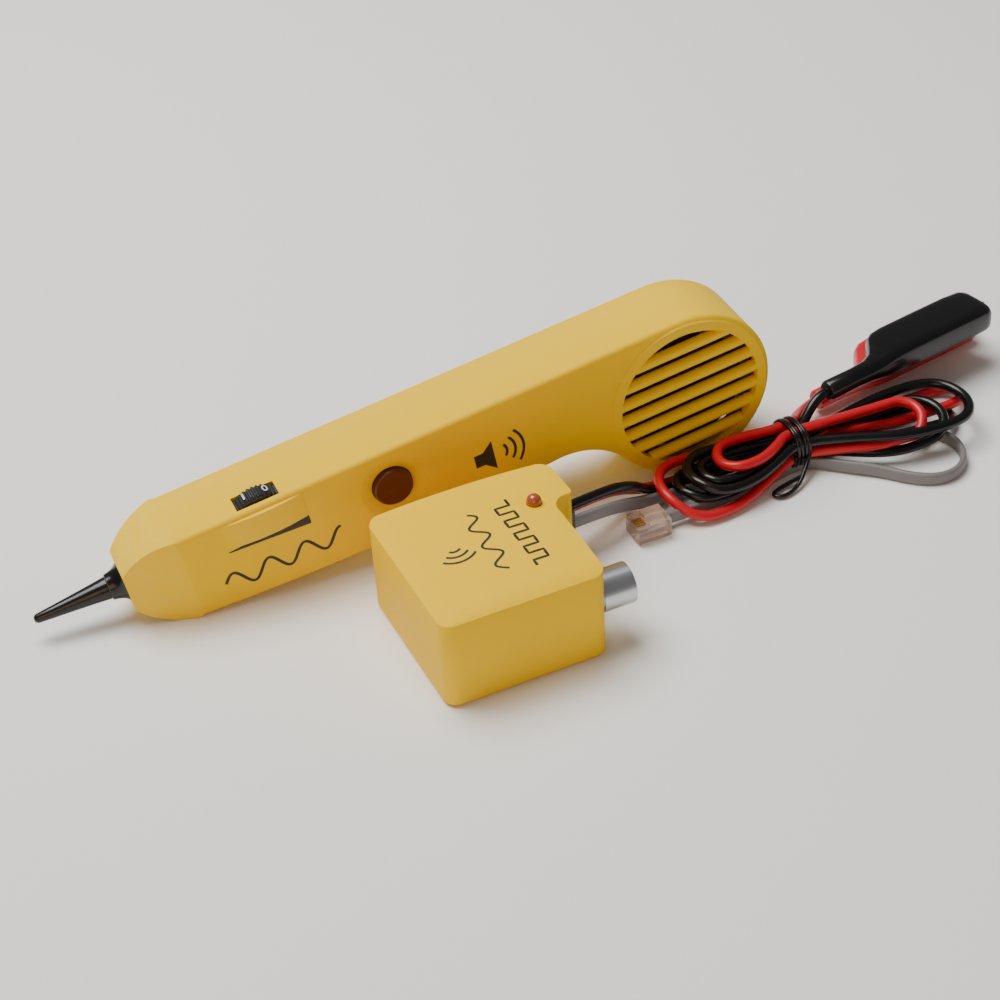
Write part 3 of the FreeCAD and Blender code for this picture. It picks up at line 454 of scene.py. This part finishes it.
@dataclass
class Maker:
    """What every sub-assembly's class shares: placing and dressing its pieces."""

    kit: ShaderKit

    def keep(self, piece: bpy.types.Object, body: Body, slot: Slot, stands_for: tuple[str, ...] = (),
             finish: Finish | None = None) -> bpy.types.Object:
        """Put a piece on its body, give it its finish and report it.

        Args:
            piece: a mesh or a curve in the row frame.
            body: what it moves with.
            slot: the record's slot.
            stands_for: CAD nodes that it replaces.
            finish: its finish where it isn't the slot's own.

        Returns:
            The piece.
        """
        piece.data.materials.clear()
        piece.data.materials.append((finish or FINISHES[slot]).material(self.kit))
        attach(piece, body.value)
        if stands_for:
            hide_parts(*stands_for)
        LOG.info("%s rides on %s", piece.name, body.value)
        return piece


@dataclass
class Leads(Maker):
    """The three leads: from the gland, through the tied hank, to their ends."""

    tie: Point = (124.0, 29.0, 8.7)
    wire: float = 1.8
    cord_wide: float = 4.6
    cord_thick: float = 2.3
    cord_steps: int = 16
    cord_bulge: Flat = (0.8, 0.5)
    tie_turns: int = 4
    tie_steps: int = 16
    tie_wide: float = 6.0
    tie_wander: float = 0.5
    tie_reach: Flat = (9.0, 7.9)
    tie_squeeze: Flat = (0.08, 0.05)
    tie_wire: float = 0.75
    tie_end: tuple[Point, ...] = (
        (-1, 17.5, 4.5), (-6, 13.6, 1.6), (-13, 11.5, 1.2), (-16, 14.5, 1.2), (-11, 16.6, 1.4),
        (-3, 17.2, 2.4))
    black_route: tuple[Point, ...] = (
        (34.2, 21.5, 19), (49, 23.4, 19.2), (61, 27.2, 14.6), (70, 31, 6.6), (80, 33, 2.4), (98, 33, 1.9),
        (128.1, 30.9, 1.9), (141.5, 31.8, 1.9), (158.9, 33, 1.9), (173.1, 33.1, 1.9), (181.1, 33, 1.9),
        (186, 28.1, 1.9), (186, 21.1, 2.4), (181.1, 16.2, 5.3), (173, 16.2, 6), (158.7, 17, 6.3),
        (141.4, 24.8, 6.5), (128, 31, 5.9), (120, 30.9, 5.5), (111.4, 32.4, 5.5), (98.8, 34.3, 5.7),
        (84.1, 34.5, 6.2), (79, 29.4, 7.3), (79, 22.1, 8), (84.2, 17, 6.5), (98.8, 17.5, 6),
        (111.4, 22.9, 6.3), (120.1, 27.1, 6.6), (128.1, 27, 6.2), (139.3, 20, 4.9), (154.4, 11.1, 4.5),
        (166.8, 10, 5.3), (172.5, 9.9, 7), (178.2, 15.6, 9.2), (178.2, 23.8, 9.6), (172.5, 29.7, 9.8),
        (166.8, 29.9, 8.7), (154.4, 30.3, 8), (139.3, 32.8, 8.3), (128.1, 34.8, 8.8), (120.1, 34.8, 9.1),
        (112.6, 35.4, 9.8), (101.1, 36, 10.5), (89.1, 35.9, 11), (83.2, 29.7, 11.2), (83.2, 21, 11.2),
        (89.3, 14.8, 9.3), (101.5, 15.1, 9), (113, 19.2, 10.2), (120.3, 22.7, 11.3), (128.2, 22.9, 11.5),
        (142.4, 16.8, 11.7), (160.5, 9, 11.3), (181.6, 8.4, 10.7), (189, 15.9, 10.8), (189, 26.5, 11),
        (181.5, 34, 11.5), (160.3, 33.6, 11.9), (142.1, 30, 11.2), (127.9, 27, 10.4), (119.9, 27, 10.2),
        (113.8, 23.7, 10), (103.7, 19.4, 9.7), (92, 19, 9.4), (88, 23, 10.1), (88, 28.7, 10.1),
        (92.1, 32.7, 9.5), (103.9, 32.5, 9.5), (114, 31.4, 9.2), (120.1, 30.6, 9.2), (128.2, 30.6, 9.4),
        (133.5, 33.6, 15), (138.5, 35.4, 18.2), (143.2, 36.6, 18.9), (150, 37.8, 18.9))
    red_route: tuple[Point, ...] = (
        (34.2, 24.6, 15.2), (48, 27.2, 15), (60, 32.2, 10), (69, 36.2, 3.8), (82, 36.6, 2),
        (98, 36.9, 1.9), (128, 34.8, 1.9), (143.6, 36.5, 1.9), (163.2, 38.4, 1.9), (179.3, 38.6, 1.9),
        (189.8, 38.6, 1.9), (194, 34.3, 4), (194, 28.3, 5.1), (189.8, 24.1, 5.9), (179.3, 24, 5.8),
        (163.2, 24.5, 5.4), (143.5, 30.1, 5.1), (128, 34.6, 5.2), (120, 34.6, 5.2), (109.6, 36.4, 6.2),
        (95.3, 38.6, 8), (80.2, 38.7, 8.8), (72.7, 31, 9.4), (72.6, 20.2, 7.9), (80.1, 12.5, 2.7),
        (95.2, 13, 2.7), (109.7, 18.4, 4.7), (120, 22.8, 6.7), (127.9, 22.8, 7.1), (136.7, 18.5, 7.8),
        (149.6, 13.2, 8.1), (160.2, 12.8, 7.9), (165.8, 12.8, 7.6), (169.9, 16.9, 11.2), (170, 22.7, 12.4),
        (165.9, 26.8, 13), (160.3, 26.8, 13), (149.8, 26.8, 13.3), (136.9, 26.8, 13.9), (128, 26.9, 14.3),
        (120, 26.9, 14), (115.9, 23.8, 13.7), (107.7, 19.8, 13.3), (99.1, 19.5, 13.2), (94.9, 23.7, 12.6),
        (94.9, 29.5, 12.6), (98.9, 33.8, 13.5), (107.4, 33.8, 13.5), (115.3, 32.6, 13.7),
        (119.2, 31.9, 13.9), (127, 32.2, 14.2), (132.4, 39.2, 10.2), (139, 45.2, 7), (147, 49.6, 5.7),
        (154, 50.9, 5.7))
    grey_route: tuple[Point, ...] = (
        (34.2, 17.8, 15.2), (46, 18.8, 15), (57, 22.8, 10.8), (66, 27.6, 5.2), (79, 29.6, 2.7),
        (98, 27, 2.7), (120, 27.2, 2.4), (127.9, 27.3, 2.4), (149.9, 23.2, 2.4), (168.2, 21.4, 2.4),
        (176, 15.7, 2.4), (178.4, 7.2, 2.4), (175.3, -1.4, 2.4), (168.7, -6.4, 2.4), (160.5, -6.6, 2.4),
        (153, -1.2, 2.4), (147, 6.3, 2.5), (140, 12.1, 3), (128, 23.5, 2.4), (120, 23.5, 2.4),
        (106, 20.6, 2.4), (84, 18.2, 3.4), (75, 17.4, 4.1), (68.6, 17.4, 4.1))

    def build(self) -> None:
        black = nurbs("black_lead_run", self.black_route, self.wire)
        self.keep(black, Body.GENERATOR, Slot.BLACK_WIRE, ("black_lead", "lead_hank"))
        red = nurbs("red_lead_run", self.red_route, self.wire)
        self.keep(red, Body.GENERATOR, Slot.RED_WIRE, ("red_lead",))
        self.declare(black, self.black_route, self.wire * 2, "connector", ["black_clip_boot_soft"])
        self.declare(red, self.red_route, self.wire * 2, "connector", ["red_clip_boot_soft"])
        self.flat_cord()
        self.twist()

    def declare(self, piece: bpy.types.Object, route: tuple[Point, ...], wide: float, end: str,
                with_pieces: list[str], path: list[Point] | None = None) -> None:
        """Log how long a lead is along the smooth line of its route.

        Args:
            piece: the lead.
            route: its control points in mm.
            wide: its width in mm; not used.
            end: what is on its far end; not used.
            with_pieces: the pieces on it; not used.
            path: the line that it follows, for a mesh; not used.
        """
        length = run_length(followed(route))
        LOG.info("%s is %.0f mm long", piece.name, length / MM)

    def flat_cord(self) -> None:
        """The flat grey cord stands on its edge, as a flat cord does in a loop."""
        points = followed(self.grey_route)
        bulge_wide, bulge_thick = self.cord_bulge
        rings = []
        for i, point in enumerate(points):
            ahead = (points[min(i + 1, len(points) - 1)] - points[max(i - 1, 0)]).normalized()
            across = Vector((ahead.y, -ahead.x, 0)).normalized()
            up = across.cross(ahead).normalized()
            up = up if up.z > 0 else -up
            ring = []
            for k in range(self.cord_steps):
                turn = 2 * math.pi * k / self.cord_steps
                wide, thick = math.sin(turn), math.cos(turn)
                wide = math.copysign(abs(wide) ** bulge_wide, wide) * self.cord_wide / 2
                thick = math.copysign(abs(thick) ** bulge_thick, thick) * self.cord_thick / 2
                ring.append(point + (up * wide + across * thick) * MM)
            rings.append(ring)
        piece = self.keep(loft("grey_flat_lead", rings, smooth=60), Body.GENERATOR, Slot.GREY_CORD,
                          ("grey_lead", "grey_lead_loop"))
        self.declare(piece, self.grey_route, self.cord_wide, "plug", ["modular_plug", "plug_contacts"],
                     [tuple(p) for p in points])

    def twist(self) -> None:
        """The thin black wire wound round the hank's waist, with its looped end."""
        x, y, z = self.tie
        reach_y, reach_z = self.tie_reach
        squeeze_y, squeeze_z = self.tie_squeeze
        last = self.tie_turns * self.tie_steps
        route: list[Point] = []
        for i in range(last + 1):
            angle = 2 * math.pi * i / self.tie_steps
            along = x - self.tie_wide / 2 + self.tie_wide * i / last + self.tie_wander * math.sin(angle * 0.5)
            side = y - reach_y * math.cos(angle) * (1 - squeeze_y * math.cos(2 * angle))
            height = z - reach_z * math.sin(angle) * (1 + squeeze_z * math.cos(2 * angle))
            route.append((along, side, height))
        route += [(x + back, side, height) for back, side, height in self.tie_end]
        self.keep(nurbs("twist_tie_wire", route, self.tie_wire), Body.GENERATOR, Slot.RUBBER, ("twist_tie",))


@dataclass
class Clips(Maker):
    """The soft boots over the two alligator clips."""

    yaw: float = math.radians(10.2)
    places: dict[str, Point] = field(default_factory=lambda: {
        "black": (142.9, 36.5, 18.9), "red": (147.0, 49.6, 5.7)})
    stations: list[tuple[float, float, float, float, float]] = field(default_factory=lambda: [
        # x, lower side, upper side, half thickness, squareness
        (0.0, -3.2, 3.2, 3.2, 2.0), (0.6, -3.65, 3.65, 3.65, 2.0), (12.0, -3.65, 3.65, 3.65, 2.0),
        (19.0, -3.9, 4.0, 3.8, 2.1), (23.0, -4.1, 5.2, 4.3, 2.4), (26.0, -4.2, 8.2, 4.9, 3.0),
        (28.6, -4.2, 11.6, 5.3, 3.6), (31.5, -4.2, 13.2, 5.42, 4.2), (36.0, -4.2, 13.75, 5.45, 4.6),
        (50.0, -4.2, 13.75, 5.45, 4.8), (66.0, -4.2, 13.7, 5.45, 4.8), (73.5, -4.15, 13.3, 5.4, 4.4),
        (75.4, -3.8, 12.6, 5.1, 4.0), (75.9, -3.2, 11.8, 4.7, 3.8),
        (75.4, -2.9, 11.4, 4.3, 3.8), (66.0, -2.9, 12.3, 4.2, 4.2), (52.0, -2.9, 12.3, 4.2, 4.2)])

    def build(self) -> None:
        """Make both boots."""
        for colour, origin in self.places.items():
            place = Matrix.Translation(Vector(origin) * MM) @ Matrix.Rotation(self.yaw, 4, "Z")
            rings = [self.ring(place, *station) for station in self.stations]
            boot = loft(f"{colour}_clip_boot_soft", rings, smooth=50)
            slot = Slot.RUBBER if colour == "black" else Slot.RED_WIRE
            self.keep(boot, Body.GENERATOR, slot, (f"{colour}_clip_boot",))

    @staticmethod
    def ring(place: Matrix, x: float, low: float, high: float, half: float, square: float) -> list[Vector]:
        """One section of a boot, from round at the tail to a soft rectangle at the mouth.

        Args:
            place: the clip's place in the frame.
            x: along the clip.
            low: its lower side.
            high: its upper side.
            half: half its thickness.
            square: 2 is round, and more is squarer.

        Returns:
            The section's points.
        """
        middle, reach = (low + high) / 2, (high - low) / 2
        sides = 40
        points = []
        for k in range(sides):
            turn = 2 * math.pi * k / sides
            c, s = math.cos(turn), math.sin(turn)
            y = middle + reach * math.copysign(abs(c) ** (2 / square), c)
            z = half * math.copysign(abs(s) ** (2 / square), s)
            points.append(place @ (Vector((x, y, z)) * MM))
        return points


@dataclass
class Probe(Maker):
    """The amplifier probe: its printing, wheel, button and tip."""

    origin: Point = (-135.0, 50.55, 8.455)
    yaw: float = math.radians(-1.97)
    pitch: float = math.radians(-9.18158)
    middle: float = 13.5
    wheel_at: Flat = (78.9, 8.1)
    wheel_radius: float = 10.3
    wheel_from: float = 2.9
    wheel_thick: float = 6.2
    wheel_edge: float = 0.6
    wheel_taper: float = 0.93
    wheel_ribs: int = 40
    rib_cuts: tuple[float, ...] = (0.0, 0.05, 0.55, 0.55)
    wheel_bore: float = 1.6
    digit_lift: float = 0.03
    one_half: float = 1.5
    nought_half: Flat = (0.75, 1.35)
    button_at: Flat = (121.6, 1.8)
    print_lift: float = 0.03

    def place(self) -> Matrix:
        """From the probe's own axes, in metres, to the frame."""
        turn = Matrix.Rotation(self.yaw, 4, "Z") @ Matrix.Rotation(self.pitch, 4, "Y")
        return Matrix.Translation(Vector(self.origin) * MM) @ turn

    def along_y(self, x: float, z: float) -> Matrix:
        """A lathe's place whose axis is the probe's Y, through x and z."""
        spot = Matrix.Translation(Vector((x, 0, z)) * MM)
        return self.place() @ spot @ Matrix.Rotation(math.pi / 2, 4, "Z")

    def build(self) -> None:
        """Make every piece."""
        self.tip()
        self.button()
        self.wheel()
        self.printing()

    def tip(self) -> None:
        """The slim tip and the bell collar that it grows out of."""
        place = self.place() @ Matrix.Translation(Vector((0, self.middle, 0)) * MM)
        start = [(0.02, 0.3), (0.15, 0.85), (0.6, 1.35), (1.3, 1.62)]
        shaft = start + [(7, 2.1), (14, 2.72), (20, 3.3), (25.0, 3.84), (25.42, 3.84), (25.42, 3.2),
                         (39.0, 3.2)]
        self.keep(lathe("probe_tip_turned", shaft, place, smooth=50), Body.PROBE, Slot.RUBBER, ("probe_tip",))
        bell = [(25.42, 3.22), (25.42, 4.2), (25.7, 4.5), (27.0, 4.72), (28.4, 5.15), (29.5, 5.75),
                (30.1, 6.3), (30.45, 6.6), (30.48, 6.6), (30.48, 3.22)]
        collar = lathe("tip_collar_turned", bell, place, smooth=35)
        self.keep(collar, Body.PROBE, Slot.RUBBER, ("tip_collar",))

    def button(self) -> None:
        """The round push button, slightly dished, with its flange and stem inside the casing."""
        x, z = self.button_at
        profile = [(-0.95, 0.05), (-0.98, 2.5), (-1.1, 4.6), (-1.24, 5.6), (-1.3, 6.0), (-1.2, 6.4),
                   (-0.9, 6.66), (-0.5, 6.75), (2.6, 6.75), (2.6, 8.1), (3.6, 8.1), (3.6, 2.2), (7.99, 2.2)]
        cap = lathe("listen_button_cap", profile, self.along_y(x, z))
        self.keep(cap, Body.BUTTON, Slot.MAROON, ("listen_button",))

    def wheel(self) -> None:
        """The ribbed thumbwheel and the two digits on its rim."""
        place = self.along_y(*self.wheel_at)
        outline = [self.wheel_radius - cut for _ in range(self.wheel_ribs) for cut in self.rib_cuts]
        thick, edge, taper = self.wheel_thick, self.wheel_edge, self.wheel_taper
        stations = ((0.0, taper), (edge, 1.0), (thick - edge, 1.0), (thick, taper))
        rings = [self.wheel_ring(place, along, [radius * scale for radius in outline])
                 for along, scale in stations]
        bore = [self.wheel_bore] * len(outline)
        rings += [self.wheel_ring(place, along, bore) for along in (thick, 0.0)]
        wheel = loft("volume_wheel_ribbed", rings, closed=True, smooth=25)
        self.keep(wheel, Body.WHEEL, Slot.BLACK, ("volume_wheel",))
        self.digits()

    def wheel_ring(self, place: Matrix, along: float, radii: list[float]) -> list[Vector]:
        """One ring of the wheel.

        Args:
            place: the wheel's axis in the frame.
            along: how far along the wheel the ring is, in mm.
            radii: the radius at each of the ring's points.

        Returns:
            The ring's points.
        """
        ring = []
        for k, radius in enumerate(radii):
            turn = 2 * math.pi * k / len(radii)
            spot = Vector((self.wheel_from + along, radius * math.cos(turn), radius * math.sin(turn)))
            ring.append(place @ (spot * MM))
        return ring

    def digits(self) -> None:
        """The digits 1 and 0 on the wheel's rim, either side of its top."""
        x, z = self.wheel_at
        reach = self.wheel_radius + self.digit_lift
        wide, tall = self.nought_half
        ring = [(wide * math.cos(t), tall * math.sin(t)) for t in (2 * math.pi * k / 20 for k in range(21))]
        shapes = {"wheel_digit_one": (20.0, stroke([(0.0, -self.one_half), (0.0, self.one_half)], 0.65)),
                  "wheel_digit_nought": (-22.0, stroke(ring, 0.5))}
        for name, (lean, (points, cells)) in shapes.items():
            verts = []
            for around, across in points:
                turn = math.radians(90 + lean) - around / reach
                along = self.wheel_from + self.wheel_thick / 2 + across
                spot = Vector((x + reach * math.cos(turn), along, z + reach * math.sin(turn)))
                verts.append(self.place() @ (spot * MM))
            self.keep(mesh_object(name, verts, cells), Body.WHEEL, Slot.WHITE, finish=MARK)

    def flat_mark(self, name: str, shapes: list[Outline]) -> None:
        """A printed mark on the probe's front face.

        Args:
            name: the piece's name.
            shapes: outlines in the face's x and z, in mm.
        """
        verts: list[Vector] = []
        faces: list[Cell] = []
        for points, cells in shapes:
            base = len(verts)
            verts += [self.place() @ (Vector((x, -self.print_lift, z)) * MM) for x, z in points]
            faces += [tuple(base + k for k in cell) for cell in cells]
        self.keep(mesh_object(name, verts, faces), Body.PROBE, Slot.BLACK, finish=PRINT)

    def printing(self) -> None:
        """A volume wedge and plain pictures of a wave and of a sounding speaker."""
        wedge = ([(64.5, 3.6), (92.6, 1.6), (92.6, 6.4), (64.5, 4.1)], [(0, 1, 2, 3)])
        self.flat_mark("print_volume_wedge", [wedge])
        start, step, middle, swing, period = 60, 0.7, -7.6, 3.2, 18
        wave = [(start + step * i, middle + swing * math.sin(i * 2 * math.pi / period)) for i in range(60)]
        self.flat_mark("print_wave", [stroke(wave, 1.1)])
        box = [(150.0, -5.8), (153.2, -5.8), (157.0, -9.2), (157.0, 2.6), (153.2, -0.8), (150.0, -0.8)]
        marks = [(box, [(0, 1, 4, 5), (1, 2, 3, 4)])]
        marks += [stroke(arc((158.0, -3.3), radius, -42, 84), 1.0) for radius in (3.6, 6.6, 9.6)]
        self.flat_mark("print_speaker", marks)


@dataclass
class Generator(Maker):
    """The tone generator: its softened casing and the pictures printed on its lid."""

    high: float = 35.3
    crown: float = 380.0
    crown_y: float = 4.0
    soft: float = 1.1
    rim_deep: float = 8.0
    rim_turn: float = math.radians(30)
    flat_turn: float = math.radians(0.5)
    sharp_turn: float = math.radians(28)
    weld: float = 1e-6
    print_lift: float = 0.04

    def build(self) -> None:
        """Make the casing and the print."""
        self.casing()
        self.printing()

    def casing(self) -> None:
        """The top shell with its edges softened."""
        mesh = frame["nodes"]["generator_top_shell"].data.copy()
        work = bmesh.new()
        work.from_mesh(mesh)
        bmesh.ops.remove_doubles(work, verts=work.verts, dist=self.weld)
        bmesh.ops.dissolve_limit(work, angle_limit=self.flat_turn, verts=work.verts, edges=work.edges)
        rim = [e for e in work.edges if len(e.link_faces) == 2 and e.calc_face_angle(0.0) > self.rim_turn
               and min(v.co.z for v in e.verts) > (self.high - self.rim_deep) * MM and e.is_convex]
        bmesh.ops.bevel(work, geom=rim, offset=self.soft * MM, segments=3, profile=0.5, affect="EDGES",
                        clamp_overlap=True)
        work.to_mesh(mesh)
        work.free()
        mesh.shade_smooth()
        mesh.set_sharp_from_angle(angle=self.sharp_turn)
        piece = bpy.data.objects.new("generator_casing", mesh)
        bpy.context.scene.collection.objects.link(piece)
        self.keep(piece, Body.GENERATOR, Slot.YELLOW, ("generator_top_shell",))

    def lid_height(self, x: float, y: float) -> float:
        """The crowned lid's height over a place, in mm."""
        return self.high - (x * x + (y - self.crown_y) ** 2) / (2 * self.crown)

    def lid_mark(self, name: str, shapes: list[Outline]) -> None:
        """A printed mark on the lid, laid on its crown.

        Args:
            name: the piece's name.
            shapes: outlines over the lid, in mm.
        """
        verts: list[Vector] = []
        faces: list[Cell] = []
        for points, cells in shapes:
            base = len(verts)
            verts += [Vector((x, y, self.lid_height(x, y) + self.print_lift)) * MM for x, y in points]
            faces += [tuple(base + k for k in cell) for cell in cells]
        self.keep(mesh_object(name, verts, faces), Body.GENERATOR, Slot.BLACK, finish=PRINT)

    def printing(self) -> None:
        """A stepped wave, a round wave and three arcs."""
        top, period, near, far = 16, 7.0, 5.5, 10.5
        corners: list[Flat] = []
        for i in range(5):
            y = top - i * period
            corners += [(far, y), (far, y - period / 2), (near, y - period / 2), (near, y - period)]
        steps: list[Flat] = []
        for (ax, ay), (bx, by) in zip(corners, corners[1:]):
            steps += [(ax + (bx - ax) * k / 4, ay + (by - ay) * k / 4) for k in range(4)]
        self.lid_mark("print_square_wave", [stroke(steps, 1.0)])
        middle, swing, start, step = -3.5, 2.4, 14, 0.6
        wave = [(middle + swing * math.sin(i * 2 * math.pi / 16), start - step * i) for i in range(50)]
        self.lid_mark("print_round_wave", [stroke(wave, 0.9)])
        arcs = [stroke(arc((-14, 2), radius, -135, 90), 0.9) for radius in (2.6, 5.2, 7.8)]
        self.lid_mark("print_arcs", arcs)


# ---------------------------------------------------------------- stage


@dataclass(frozen=True)
class Lamp:
    """One soft square light: its place in metres, watts, side in metres and tint."""

    name: str
    spot: Point
    power: float
    size: float
    color: Point


@dataclass
class Studio:
    """The camera, the pale floor and the soft lights."""

    kit: ShaderKit
    target: Point = (26.95, 58.54, 0.0)
    distance: float = 750.9
    azimuth: float = math.radians(22.9)
    elevation: float = math.radians(37.41)
    roll: float = math.radians(-3.8)
    lens: float = 78.97
    sensor: float = 36.0
    sees: Flat = (0.01, 50.0)
    floor_half: float = 6.0
    sky: float = 0.17
    aim_at: Point = (0.03, 0.03, 0.0)
    lamps: tuple[Lamp, ...] = (
        Lamp("top_light", (-0.25, 0.45, 1.25), 26.0, 0.9, (1.0, 0.99, 0.95)),
        Lamp("front_light", (-0.7, -1.0, 0.6), 4.2, 0.8, (1.0, 0.66, 0.38)))

    def camera(self) -> None:
        """The camera, rolled as a hand-held one is."""
        flat = math.cos(self.elevation)
        turn = self.azimuth
        back = Vector((-math.sin(turn) * flat, -math.cos(turn) * flat, math.sin(self.elevation)))
        right = Vector((math.cos(self.azimuth), -math.sin(self.azimuth), 0))
        up = back.cross(right)
        side = right * math.cos(self.roll) + up * math.sin(self.roll)
        top = up * math.cos(self.roll) - right * math.sin(self.roll)
        data = bpy.data.cameras.new("studio_camera")
        data.lens, data.sensor_width, data.sensor_fit = self.lens, self.sensor, "HORIZONTAL"
        data.clip_start, data.clip_end = self.sees
        camera = bpy.data.objects.new("studio_camera", data)
        bpy.context.scene.collection.objects.link(camera)
        spot = (Vector(self.target) + back * self.distance) * MM
        camera.matrix_world = Matrix.Translation(spot) @ Matrix((side, top, back)).transposed().to_4x4()
        bpy.context.scene.camera = camera

    def floor(self) -> None:
        """A wide pale floor."""
        half = self.floor_half
        corners = [Vector((x * half, y * half, 0.0)) for x, y in ((-1, -1), (1, -1), (1, 1), (-1, 1))]
        plane = mesh_object("floor", corners, [(0, 1, 2, 3)])
        plane.data.materials.append(FLOOR.material(self.kit))

    def light(self, lamp: Lamp) -> None:
        """Place one light, aimed at the object.

        Args:
            lamp: the light to place.
        """
        data = bpy.data.lights.new(lamp.name, "AREA")
        data.energy, data.size, data.color = lamp.power, lamp.size, lamp.color
        piece = bpy.data.objects.new(lamp.name, data)
        bpy.context.scene.collection.objects.link(piece)
        spot = Vector(lamp.spot)
        turn = (Vector(self.aim_at) - spot).to_track_quat("-Z", "Y")
        piece.matrix_world = Matrix.Translation(spot) @ turn.to_matrix().to_4x4()

    def build(self) -> None:
        """Make the world, the lights and the floor."""
        world = bpy.data.worlds.new("studio_world")
        bpy.context.scene.world = world
        world.use_nodes = True
        background = world.node_tree.nodes["Background"]
        background.inputs["Color"].default_value = (1.0, 1.0, 1.0, 1.0)
        background.inputs["Strength"].default_value = self.sky
        for lamp in self.lamps:
            self.light(lamp)
        self.floor()


def dress_nodes(kit: ShaderKit) -> None:
    """Give every CAD node the finish of its slot.

    Args:
        kit: the shared shader groups.
    """
    slots = {row["node"]: Slot(row["material_slot"]) for row in frame["record"]["subparts"]}
    for name, node in frame["nodes"].items():
        node.data.materials.clear()
        node.data.materials.append(FINISHES[slots[name]].material(kit))
        LOG.info("%s wears %s", name, slots[name].value)


def main() -> None:
    logging.basicConfig(level=logging.INFO, format="%(message)s")
    kit = ShaderKit()
    studio = Studio(kit)
    studio.camera()
    Clips(kit).build()
    Leads(kit).build()
    dress_nodes(kit)
    Generator(kit).build()
    Probe(kit).build()
    studio.build()


if __name__ == "__main__":
    main()
